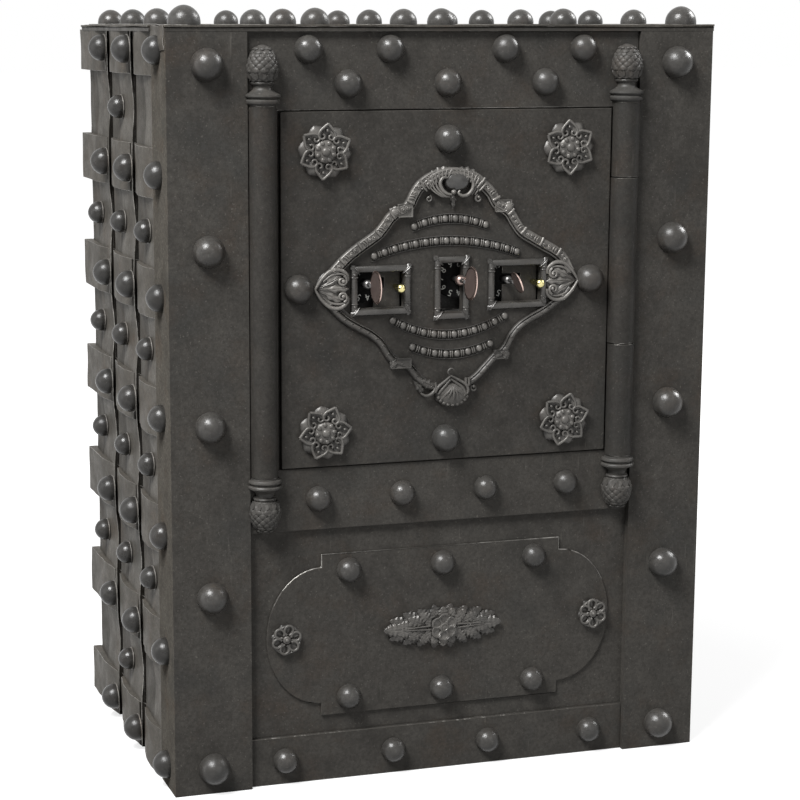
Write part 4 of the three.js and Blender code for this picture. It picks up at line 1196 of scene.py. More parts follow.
FINIAL_PROFILE = (
    (0, 0.40), (1, 0.40), (1, 0.50), (1.17, 0.54), (1.22, 0.62), (1.22, 0.74), (1.16, 0.82),
    (1.05, 0.86), (1.06, 0.92), (1.20, 0.96), (1.26, 1.04), (1.24, 1.16), (1.0, 1.28), (0.80, 1.40),
    (0.68, 1.52), (0.64, 1.66), (0.66, 1.80), (0.80, 1.86), (0.85, 1.95), (0.80, 2.05),
    (0.78, 2.10),
    (0.94, 2.26), (1.05, 2.56), (1.09, 2.86), (1.07, 3.2), (0.98, 3.6), (0.79, 4.0), (0.51, 4.35),
    (0.25, 4.54), (0, 4.58))


class STRONGBOX_OT_finials(bpy.types.Operator):
    """Turn the four finials and carve their scales and leaf cups"""
    bl_idname = "strongbox.finials"
    bl_label = "Finials"

    def execute(self, context):
        pattern = self.pineapple(COLUMN_RADIUS)
        for node in ("left_top_finial", "hinge_top_finial", "left_bottom_finial",
                     "hinge_bottom_finial"):
            low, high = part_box(node)
            side = -1 if low.x < 0 else 1
            foot, lean = (TOP_FINIAL_FOOT, 0) if "top" in node else (BOTTOM_FINIAL_FOOT, pi)
            flip = Matrix.Rotation(lean, 4, "X")
            place = Matrix.Translation((side * COLUMN_ACROSS, CARCASS_FRONT, foot))
            obj = copied(pattern, place @ flip)
            cut_away(obj, (0, high.y, 0), (0, -1, 0))
            cast_piece([obj], node + "_carved", "carcass", node, angle=35, paint="cast")
        removed(pattern)
        return {"FINISHED"}

    def pineapple(self, radius):
        """The whole finial, standing on the origin."""
        parts = [turned([(across * radius, rise * radius) for across, rise in FINIAL_PROFILE])]
        rows = 7
        full_rows = 5
        for row in range(rows):
            share = row / (rows - 0.6)
            rise = (2.86 + 1.56 * share) * radius
            reach = (1.09 - 0.06 * share - 0.62 * share ** 2.4) * radius
            count = 11 if row < full_rows else 7
            width = 0.9 * pi * reach / count
            scale = ball((0, 0, 0), (radius * 0.10, width * 1.08, radius * 0.235), 8, 6)
            lean = Matrix.Rotation(-0.15 - 1.1 * share ** 2, 4, "Y")
            for number in range(count):
                angle = 2 * pi * (number + 0.5 * (row % 2)) / count
                turn = Matrix.Rotation(angle, 4, "Z")
                parts.append(copied(scale, turn @ Matrix.Translation((reach, 0, rise)) @ lean))
            removed(scale)
        for count, start, rise, length in ((6, 0.0, 2.10, 0.86), (6, pi / 6, 2.08, 1.0)):
            leaf = blade(length * radius, 1.05 * radius, 0.62, 0, 0, 0.06, 0.07, 0.05, 0.04,
                         0.0007, (10, 6))
            parts += around(leaf, count, 0.86 * radius, start, rise * radius, radians(70))
        return joined(parts, "pineapple")


class STRONGBOX_OT_rosettes(bpy.types.Operator):
    """Model the rosettes of the door and of the lower panel"""
    bl_idname = "strongbox.rosettes"
    bl_label = "Rosettes"

    def execute(self, context):
        large = self.heart_rosette(0.025)
        small = self.cupped_rosette(0.015)
        for pattern, nodes, body, start in (
                (large, ("lower_left_rosette", "lower_right_rosette", "upper_left_rosette",
                         "upper_right_rosette"), "door", radians(8)),
                (small, ("panel_left_rosette", "panel_right_rosette"), "carcass", 0.3)):
            for number, node in enumerate(nodes):
                low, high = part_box(node)
                middle = (low + high) / 2
                obj = copied(pattern, Matrix.Rotation(start * (number + 1), 4, "Z"))
                on_front(obj, middle.x, high.y, middle.z)
                cast_piece([obj], node + "_cast", body, node,
                           paint="rosette_cast" if body == "door" else "panel_cast")
            removed(pattern)
        return {"FINISHED"}

    def heart_rosette(self, radius):
        """Six folded leaves behind six heart-shaped petals with scrolls, round a beaded boss."""
        disc = turned([(0, 0), (0.78 * radius, 0), (0.76 * radius, 0.0012), (0, 0.0022)], 24)
        parts = [disc]
        leaf = blade(0.74 * radius, 0.66 * radius, 1.35, 0, 0, 0.20, 0.0, 0.0, 0.02, 0.0010)
        parts += around(leaf, 6, 0.26 * radius, pi / 6, 0.0012, radians(2))
        petal = blade(0.68 * radius, 0.62 * radius, 0.66, 0, 0, -0.02, 0.10, 0.0, 0.0, 0.0011)
        parts += around(petal, 6, 0.28 * radius, 0, 0.0022, radians(4))
        for number in range(6):
            turn = Matrix.Rotation(pi / 3 * number, 4, "Z")
            for side in (-1, 1):
                line = ((0.98, 0.0), (0.86, 0.13), (0.70, 0.27), (0.54, 0.31), (0.43, 0.22),
                        (0.46, 0.10), (0.56, 0.09), (0.60, 0.16))
                heart = tapered([(along * radius, side * out * radius, 0.0048)
                                 for along, out in line], 0.0014, 0.0009)
                heart.data.transform(turn)
                parts.append(heart)
            bead = ball((0.74 * radius, 0, 0.0046), (0.0016, 0.0012, 0.0014), 8, 6)
            bead.data.transform(turn)
            parts.append(bead)
        boss = [(0, 0.001), (0.42 * radius, 0.001), (0.44 * radius, 0.0030),
                (0.40 * radius, 0.0052), (0.30 * radius, 0.0070), (0.21 * radius, 0.0070),
                (0, 0.0074)]
        parts.append(turned(boss, 30))
        knob = ball((0, 0, 0), (0.0026, 0.0023, 0.0018), 8, 6)
        parts += around(knob, 8, 0.31 * radius, 0, 0.0062)
        parts.append(ball((0, 0, 0.0068), (0.17 * radius, 0.17 * radius, 0.0030), 16, 10))
        return joined(parts, "heart_rosette")

    def cupped_rosette(self, radius):
        """Six cupped petals with rolled rims over leaf tips."""
        parts = [turned([(0, 0), (0.7 * radius, 0), (0.68 * radius, 0.001), (0, 0.002)], 20)]
        tip = blade(0.62 * radius, 0.46 * radius, 1.2, 0, 0, 0.24, 0, 0, 0.0, 0.0008, (10, 6))
        parts += around(tip, 6, 0.36 * radius, pi / 6, 0.0014)
        petal = blade(0.78 * radius, 0.96 * radius, 1.35, 0, 0, -0.03, 0.12, -0.08, 0.02, 0.0011)
        parts += around(petal, 6, 0.14 * radius, 0, 0.0024, radians(5))
        rim = [((0.60 + 0.30 * cos(turn)) * radius, 0.28 * sin(turn) * radius, 0.0040)
               for turn in [radians(-165 + 33 * step) for step in range(11)]]
        parts += around(tapered(rim, 0.0013, 0.0013), 6, 0)
        parts.append(turned([(0, 0), (0.26 * radius, 0.002), (0.26 * radius, 0.0048),
                             (0.2 * radius, 0.0058), (0, 0.0060)], 20))
        parts.append(ball((0, 0, 0.0060), (0.0022, 0.0022, 0.0020), 12, 8))
        return joined(parts, "cupped_rosette")


# Leaves of one quarter of the spray: foot across and up, angle, length, width and height
SPRAY_LEAVES = ((34, 0, 0, 25, 15, 2.6), (29, 2, 17, 25, 13, 1.6), (21, 3, 33, 22, 14, 1.2),
                (12, 3, 50, 19.5, 14, 1.4), (4, 4, 74, 18, 13, 1.2), (26, 1, 10, 20, 12, 3.2),
                (17, 2, 24, 20, 13, 3.0), (10, 3, 42, 17.5, 13, 3.2), (4, 4, 62, 15, 12, 3.0),
                (0, 4, 90, 15.5, 13, 3.4))


class STRONGBOX_OT_leaf_spray(bpy.types.Operator):
    """Model the spray of leaves in the middle of the lower panel"""
    bl_idname = "strongbox.leaf_spray"
    bl_label = "Leaf spray"

    def execute(self, context):
        low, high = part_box("leaf_spray")
        middle = (low + high) / 2
        parts = []
        for across, rise, angle, length, width, height in SPRAY_LEAVES:
            for side in (-1, 1):
                for level in (-1, 1):
                    if (across == 0 and side < 0) or (rise == 0 and level < 0):
                        continue
                    leaf = blade(length * MM, width * MM, 0.95, 5, 0.20, 0.16, 0.05, 0.10, 0.02,
                                 0.0011, (26, 14), pleats=0.10)
                    turn = radians(angle) * side * level + (pi if side < 0 else 0)
                    leaf.data.transform(
                        Matrix.Translation(Vector((across * side, rise * level, height)) * MM)
                        @ Matrix.Rotation(turn, 4, "Z"))
                    parts.append(leaf)
        base = ball((0, 0, 0.0002), (0.050, 0.0175, 0.0030), 32, 12)
        parts.append(base)
        for side in (-1, 1):
            for rise in (-2.6, 2.6):
                parts.append(tapered([Vector((side * across, rise * (1 - across / 50), 5.0)) * MM
                                      for across in (13, 22, 31, 40)], 0.0009, 0.0004))
        ring = blade(0.0105, 0.0092, 0.9, 3, 0.15, 0.10, 0.05, 0.08, 0.02, 0.0010, (14, 8))
        parts += around(ring, 10, 0.0085, pi / 10, 0.0042, radians(3))
        cup = blade(0.0112, 0.0106, 1.3, 0, 0, -0.04, 0.15, -0.05, 0.05, 0.0010)
        parts += around(cup, 6, 0.0018, pi / 6, 0.0056, radians(5))
        rim = [(cos(turn) * 4.0 + 8.0, sin(turn) * 4.3, 0) for turn in
               [radians(-160 + 32 * step) for step in range(11)]]
        edge = tapered([Vector(place) * MM for place in rim], 0.0008, 0.0008)
        parts += around(edge, 6, 0.0, pi / 6, 0.0067)
        parts.append(turned([(0, 0.004), (0.0046, 0.005), (0.0044, 0.0074), (0.0031, 0.0081),
                             (0.0025, 0.0074), (0, 0.0080)], 24))
        spray = joined(parts, "spray")
        on_front(spray, middle.x, high.y, middle.z)
        cast_piece([spray], "leaf_spray_cast", "carcass", "leaf_spray", paint="panel_cast")
        return {"FINISHED"}


# Middle lines of the four arms of the cartouche, in millimetres from its middle
ARMS = {
    (-1, 1): ((-116, 8), (-105, 20), (-96, 28.5), (-86, 36), (-76, 42.5), (-67.5, 48.5),
              (-61, 56), (-56, 62.5), (-49, 67.5), (-42, 70), (-37.5, 75), (-34, 82), (-28.5, 90),
              (-20, 96.5), (-12, 100)),
    (1, 1): ((119, 9), (112, 21), (104, 28), (94, 33.5), (82.5, 40), (71, 47), (64, 56),
             (58.5, 64.5), (52, 69.5), (45.5, 74), (40.5, 82.5), (32.5, 90.5), (24, 97), (16, 100)),
    (-1, -1): ((-118, -6), (-111, -16), (-100, -27), (-88, -34.5), (-74.5, -42), (-64.5, -50.5),
               (-58, -60.5), (-53.5, -66), (-46, -69.5), (-37, -74), (-29.5, -83), (-21, -90.5),
               (-14, -93)),
    (1, -1): ((119, -6), (107.5, -18), (95.5, -26.5), (82.5, -33), (71, -40), (63, -48.5),
              (58, -58), (52, -64.5), (46, -68), (37.5, -76.5), (29, -85), (20, -91.5)),
}

# Corner blocks in millimetres: middle across and up, width, height and place of the knob across
CORNER_BLOCKS = ((-42.5, 69, 14, 12, -52.5), (52, 71, 16, 11, 57), (-46, -69.5, 20, 9, -53),
                 (52, -65.5, 13.5, 8.5, 57))


class STRONGBOX_OT_cartouche(bpy.types.Operator):
    """Model the cartouche with its arms, palmettes, crest and shell"""
    bl_idname = "strongbox.cartouche"
    bl_label = "Cartouche"

    def execute(self, context):
        self.middle = Vector((0.001, 0, 0.4615))
        self.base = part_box("cartouche_frame")[1].y
        parts = []
        for side, level in ARMS:
            parts += self.arm(side, level)
        for side in (-1, 1):
            parts += self.palmette(side)
        parts += self.blocks()
        parts += self.crest()
        parts += self.shell()
        # The lower half of the cartouche takes a darker copy of the casting paint: painted shade
        for part in parts:
            total = sum((vertex.co for vertex in part.data.vertices), Vector())
            middle = total / len(part.data.vertices)
            painted(part, PAINTS["door_cast" if middle.y > -0.020 else "low_cast"])
        parts.append(painted(self.cabochon(), PAINTS["gloss"]))
        frame_piece = joined(parts, "cartouche")
        on_front(frame_piece, self.middle.x, self.base, self.middle.z)
        cast_piece([frame_piece], "cartouche_cast", "door", "cartouche_frame", paint=None)
        return {"FINISHED"}

    def cabochon(self):
        """The smooth oval in the middle of the crest."""
        return ball((0.0070, 0.0942, 0.0018), (0.0128, 0.0094, 0.0062), 28, 16)

    def rod(self, thick, height, points, thin=None):
        """A cast rod through points in millimetres from the middle, at one height."""
        return tapered([(x * MM, y * MM, height * MM) for x, y in points], thick * MM,
                       None if thin is None else thin * MM)

    def leaf(self, place, angle, *shape, **more):
        """A leaf set at a place in millimetres, turned by an angle in degrees."""
        leaf = blade(*shape, **more)
        leaf.data.transform(Matrix.Translation(Vector(place) * MM)
                            @ Matrix.Rotation(radians(angle), 4, "Z"))
        return leaf

    def arm(self, side, level):
        """A moulded band with a rim along its inner edge and scrolls on the upper arms."""
        line = smooth_line([(x * MM, y * MM, 0) for x, y in ARMS[side, level]], 7)
        if level > 0:
            width = 0.0108
            section = ((-1, 0), (-0.96, 3.4), (-0.80, 4.0), (-0.70, 1.4), (-0.62, 1.4),
                       (-0.56, 3.9), (-0.46, 4.5), (-0.1, 4.2), (0.35, 4.2), (0.76, 4.6),
                       (0.92, 3.8), (1, 0))
        else:
            width = 0.0080
            section = ((-1, 0), (-0.94, 3.2), (-0.74, 3.9), (-0.62, 2.0), (-0.52, 2.2),
                       (-0.25, 4.0), (0.1, 4.7), (0.4, 4.4), (0.7, 3.2), (0.92, 1.4), (1, 0))
        obj = mould(len(line) - 1, len(section) - 1)
        inward = -side * level

        def rule(place):
            k = round((place.x + 0.5) * (len(line) - 1))
            across, height = section[round((place.y + 0.5) * (len(section) - 1))]
            along = (line[min(len(line) - 1, k + 1)] - line[max(0, k - 1)]).normalized()
            inner = Vector((along.y, -along.x, 0)) * inward
            spot = line[k] - inner * across * width / 2
            return Vector((spot.x, spot.y, height * MM))

        shaped(obj, rule)
        edit(obj)
        choose(obj, "edges", lambda edge: edge.is_boundary)
        bpy.ops.mesh.fill(use_beauty=True)
        bpy.ops.object.mode_set(mode="OBJECT")
        parts = [closed(obj)]
        length = 0.0
        mark = 0.012
        count = 0
        for before, after in zip(line, line[1:]):
            step = after - before
            length += step.length
            if length < mark or length > 0.150:
                continue
            count += 1
            mark += 0.0052 if level > 0 else 0.0090
            inner = Vector((step.y, -step.x, 0)).normalized() * inward
            if level > 0:
                parts += self.relief(before - inner * width * 0.08, -inner, step.normalized(),
                                     count)
            else:
                parts.append(tapered([before + inner * 0.0012 + Vector((0, 0, 0.0040)),
                                      before - step.normalized() * 0.002 + Vector((0, 0, 0.0046)),
                                      before - inner * 0.0028 + Vector((0, 0, 0.0034))], 0.0006))
        return parts

    def relief(self, place, out, along, count):
        """Two rings, a cross rib or a pair of leaf strokes on the panel of an upper arm."""
        if count % 4 == 3:
            rib = [place - out * 0.0032 + Vector((0, 0, 0.0046)), place + Vector((0, 0, 0.0052)),
                   place + out * 0.0042 + Vector((0, 0, 0.0044))]
            return [tapered(rib, 0.0013, 0.0013)]
        if count % 4 == 0:
            return [tapered([place - out * 0.0026 + along * shift + Vector((0, 0, 0.0042)),
                             place + along * (shift + 0.0008) + Vector((0, 0, 0.0050)),
                             place + out * 0.0030 + along * (shift - 0.0004)
                             + Vector((0, 0, 0.0044))], 0.00085) for shift in (-0.0012, 0.0012)]
        return [volute((place.x, place.y), 0.0024, 0.0006, 0.7 * count,
                       1.15 if count % 2 else -1.15, 0.00085, 0.0046)]

    def palmette(self, side):
        """A pointed shield of curling leaves at the end of the lozenge."""
        tip = side * 127.5
        shield = turned([(0, 0), (1, 0), (0.92, 0.45), (0.55, 0.8), (0, 0.9)], 28)
        shield.data.transform(Matrix.Translation(Vector((tip - side * 16.5, 0.5, 0)) * MM)
                              @ Matrix.Diagonal((0.0150, 0.0165, 0.0036, 1)))
        parts = [shield]
        turn = 180 if side > 0 else 0
        for angle, length, width in ((0, 0.030, 0.0100), (27, 0.026, 0.0095), (-27, 0.026, 0.0095)):
            parts.append(self.leaf((tip - side * 2, 0.5, 2.6), turn + angle, length, width, 1.5, 3,
                                   0.32, 0.24, 0.0, 0.12, 0.03, 0.0010, (22, 10), pleats=0.08))
        for level in (-1, 1):
            rim = [(tip, 0.5), (tip - side * 6, 0.5 + level * 9),
                   (tip - side * 14, 0.5 + level * 16),
                   (tip - side * 23, 0.5 + level * 17.2), (tip - side * 30, 0.5 + level * 12.5),
                   (tip - side * 31, 0.5 + level * 7)]
            parts.append(self.rod(2.1, 3.4, rim))
            parts.append(self.rod(1.2, 3.8, [(x + side * -1.5, 0.5 + (y - 0.5) * 0.78)
                                             for x, y in rim[1:5]]))
            start = 0.0 if side < 0 else pi
            parts.append(volute(((tip - side * 25) * MM, (0.5 + level * 7.2) * MM), 0.0050, 0.0012,
                                start + level * side * -1.2, -level * side * -1.25, 0.0014,
                                0.0050))
        return parts

    def blocks(self):
        """Small corner blocks where the arms turn, each with a sunk panel and a leafy knob."""
        parts = []
        for across, rise, width, height, knob in CORNER_BLOCKS:
            block = slab(Vector((across - width / 2, rise - height / 2, 0)) * MM,
                         Vector((across + width / 2, rise + height / 2, 5.0)) * MM)
            edit(block)
            choose(block, "faces", lambda face: face.normal.z > 0.9)
            bpy.ops.mesh.inset(thickness=0.0014)
            bpy.ops.transform.translate(value=(0, 0, -0.0012))
            bpy.ops.object.mode_set(mode="OBJECT")
            apply_modifier(block, "BEVEL", width=0.0004, segments=2, limit_method="ANGLE")
            parts.append(block)
            size = 1.0 if rise > 0 else 0.7
            parts.append(ball(Vector((knob, rise - 1.5 * size, 3.4)) * MM,
                              Vector((4.6, 4.2, 3.0)) * size * MM, 14, 8))
            for angle in (35, 90, 145, 215, 270):
                parts.append(self.leaf((knob, rise - 1.5 * size, 4.6), angle, 0.0062 * size,
                                       0.0042 * size, 1.3, 0, 0, 0.25, 0, 0.15, -0.2, 0.0008,
                                       (8, 6)))
        return parts

    def crest(self):
        """Two scrolls that meet at a bead, under a broad leafy arch."""
        parts = []
        for start, angle, radius, length in (((-27, 87, 2.6), 52, -0.050, 0.037),
                                             ((34, 88, 2.6), 131, 0.046, 0.037)):
            leaf = bent(blade(length, 0.0135, 0.95, 6, 0.22, 0.20, 0.03, 0.10, 0.02, 0.0012,
                              (44, 12), pleats=0.09), radius)
            leaf.data.transform(Matrix.Translation(Vector(start) * MM)
                                @ Matrix.Rotation(radians(angle), 4, "Z"))
            parts.append(leaf)
        arch = smooth_line([(-31, 88, 0), (-25, 93.5, 0), (-17, 100, 0), (-8, 104, 0),
                            (3, 105.4, 0), (13, 104, 0), (23, 99.5, 0), (30, 93.5, 0),
                            (36, 86, 0)], 5)
        hub = Vector((3, 84, 0))
        for inset, thick, height in ((0.6, 2.2, 3.6), (3.6, 2.2, 3.9), (6.6, 1.7, 3.2)):
            line = [place + (hub - place).normalized() * inset for place in arch]
            parts.append(self.rod(thick, height, [(place.x, place.y) for place in line[::3]]))
        for place in arch[2:-2:2]:
            inner = (hub - place).normalized()
            skew = Vector((inner.y, -inner.x, 0)) * (2.6 if place.x < hub.x else -2.6)
            fold = [place + inner * 0.4 - skew, place + inner * 3.4, place + inner * 7.2 + skew]
            parts.append(self.rod(1.0, 5.4, [(point.x, point.y) for point in fold]))
        parts.append(self.rod(1.8, 5.4, ((-3, 97.6), (-7.5, 97.8), (-10.3, 93), (-8, 87),
                                         (-3.6, 83.4), (1.0, 82.4))))
        parts.append(self.rod(1.7, 5.4, ((14, 97.4), (18.5, 97.6), (21.6, 92.5), (20.6, 86.5),
                                         (16, 81.8), (11, 81.2), (7.6, 83.6), (9.0, 86.2))))
        for shift, thick in ((0, 1.2), (3.4, 1.0), (6.4, 0.8)):
            parts.append(self.rod(thick, 4.4, ((-12 - shift, 100 - shift * 0.5),
                                               (-14.2 - shift, 94), (-11.5 - shift, 87.5),
                                               (-5.5 - shift * 0.8, 82),
                                               (0 - shift, 80.2))))
        for shift in (0, 3.2):
            parts.append(self.rod(1.0, 4.2, ((20 + shift, 99 - shift * 0.6), (24.4 + shift, 93),
                                             (24 + shift, 87), (20.5 + shift, 81.5))))
        parts.append(volute((-0.0200, 0.0790), 0.0032, 0.0012, 1.2, -0.95, 0.0009, 0.0024))
        parts.append(volute((0.0280, 0.0782), 0.0038, 0.0012, pi - 1.2, 0.95, 0.0012, 0.0030))
        parts.append(ball((0.0026, 0.0848, 0.0062), (0.0023, 0.0023, 0.0023), 12, 8))
        parts.append(self.leaf((4.2, 82, 1.6), -90, 0.0125, 0.0066, 0.55, 2, 0.3, 0.3, 0, 0.14, 0.0,
                               0.0010, (16, 8)))
        return parts

    def shell(self):
        """A ribbed shell under a roof of two scrolls, between leafy hooks."""
        centre = Vector((0.0042, -0.1000, 0))
        dome = turned([(0, 0), (0.0168, 0), (0.0166, 0.0024), (0.0146, 0.0050), (0.0100, 0.0070),
                       (0.0050, 0.0078), (0, 0.0080)], 54)

        def flute(place):
            flat = Vector((place.x, place.y))
            angle = flat.angle_signed(Vector((0, -1)), 0)
            depth = 1 + 0.045 * cos(angle * 11) * min(1, flat.length / 0.014)
            return Vector((place.x * depth, place.y * 0.74 * depth, place.z))

        shaped(dome, flute)
        dome.data.transform(Matrix.Translation(centre))
        parts = [dome]
        for fan in (-2, -1, 0, 1, 2):
            rib = ((4.2 + fan * 0.6, -92.4, 5.6), (4.2 + fan * 1.9, -96.0, 7.9 - 0.2 * abs(fan)),
                   (4.2 + fan * 3.9, -101.5 + 0.7 * abs(fan), 8.1 - 0.7 * abs(fan)),
                   (4.2 + fan * 5.6, -107.0 + 1.3 * abs(fan), 5.6 - 0.4 * abs(fan)))
            parts.append(tapered([Vector(place) * MM for place in rib], 0.0010, 0.0015))
        for number in range(9):
            angle = radians(196 + 18.5 * number)
            parts.append(ball(centre + Vector((0.0142 * cos(angle), 0.0100 * sin(angle), 0.0050)),
                              (0.0020, 0.0018, 0.0014), 10, 6))
        for shift in (0, 3.0):
            parts.append(self.rod(1.6, 5.8, ((-13 + shift, -98 - shift * 0.5),
                                             (-10.5 + shift, -93 - shift),
                                             (-5 + shift * 0.6, -88.5 - shift),
                                             (1.4, -83.4 - shift))))
            parts.append(self.rod(1.6, 5.8, ((1.4, -82.6 - shift), (9.5 - shift * 0.6, -87 - shift),
                                             (16.4 - shift, -91.5 - shift),
                                             (19 - shift, -97 - shift),
                                             (17 - shift, -101 - shift * 0.5))))
        parts.append(self.rod(0.95, 4.6, ((1.4, -83), (-0.6, -79.8), (0.7, -77.2), (3.2, -76.4),
                                          (5.4, -78))))
        parts.append(self.rod(1.7, 4.6, ((-27, -97.8), (-21.5, -100.6), (-15.8, -98.6),
                                         (-12.4, -93.6), (-12.6, -88.4))))
        parts.append(self.leaf((-31, -84, 2.6), -28, 0.020, 0.0100, 1.3, 4, 0.3, 0.24, 0, 0.12,
                               0.03, 0.0011, (22, 10), pleats=0.08))
        parts.append(self.leaf((-33, -86, 2.4), -52, 0.015, 0.0080, 1.3, 3, 0.3, 0.24, 0, 0.12,
                               0.03, 0.0011, (18, 10), pleats=0.08))
        for across in (16.8, 19.8):
            parts.append(self.rod(1.5, 4.8, ((across, -85.5), (across + 0.2, -89),
                                             (across, -93)), 1.4))
        parts.append(volute((0.0255, -0.0955), 0.0036, 0.0012, 2.4, 0.9, 0.0012, 0.0034))
        return parts


# Rows of bead and reel: middle across, height at the middle, half length, fall at the ends
BEAD_ROWS = ((2.5, 522, 34.5, 6.5), (-1, 502, 69, 12), (2.5, 416, 54.5, -15), (5, 398, 38, -8))


class STRONGBOX_OT_bead_rows(bpy.types.Operator):
    """Lay curved rows of bead and reel inside the cartouche"""
    bl_idname = "strongbox.bead_rows"
    bl_label = "Bead and reel rows"

    def execute(self, context):
        bead = ball((0, 0, 0), (0.0033, 0.0036, 0.0026), 12, 8)
        reel = ball((0, 0, 0), (0.0009, 0.0039, 0.0023), 10, 6)
        parts = []
        for across, rise, half, fall in BEAD_ROWS:
            line = [Vector((across + half * share, rise - fall * share * share, 0)) * MM
                    for share in (-1.04, -0.75, -0.5, -0.25, 0, 0.25, 0.5, 0.75, 1.04)]
            for edge in (-4.3, 4.3):
                fillet = tapered([place + Vector((0, edge, 0.4)) * MM for place in line], 0.0006)
                parts.append(fillet)
            count = round(2 * half / 10.2)
            for number in range(count + 1):
                start = -half + 2 * half * number / count
                for pattern, shift in ((bead, 0.0), (reel, 4.3), (reel, 6.1)):
                    place = start + shift
                    if place > half + 0.1:
                        continue
                    share = place / half
                    slope = -2 * fall * share / half
                    spot = Vector((across + place, rise - fall * share * share, 0.5)) * MM
                    matrix = Matrix.Translation(spot) @ Matrix.Rotation(slope, 4, "Z")
                    parts.append(copied(pattern, matrix))
        removed(bead)
        removed(reel)
        rows = joined(parts, "rows")
        on_front(rows, 0, DOOR_FACE, 0)
        cast_piece([rows], "bead_and_reel_rows", "door", paint="row_cast")
        return {"FINISHED"}


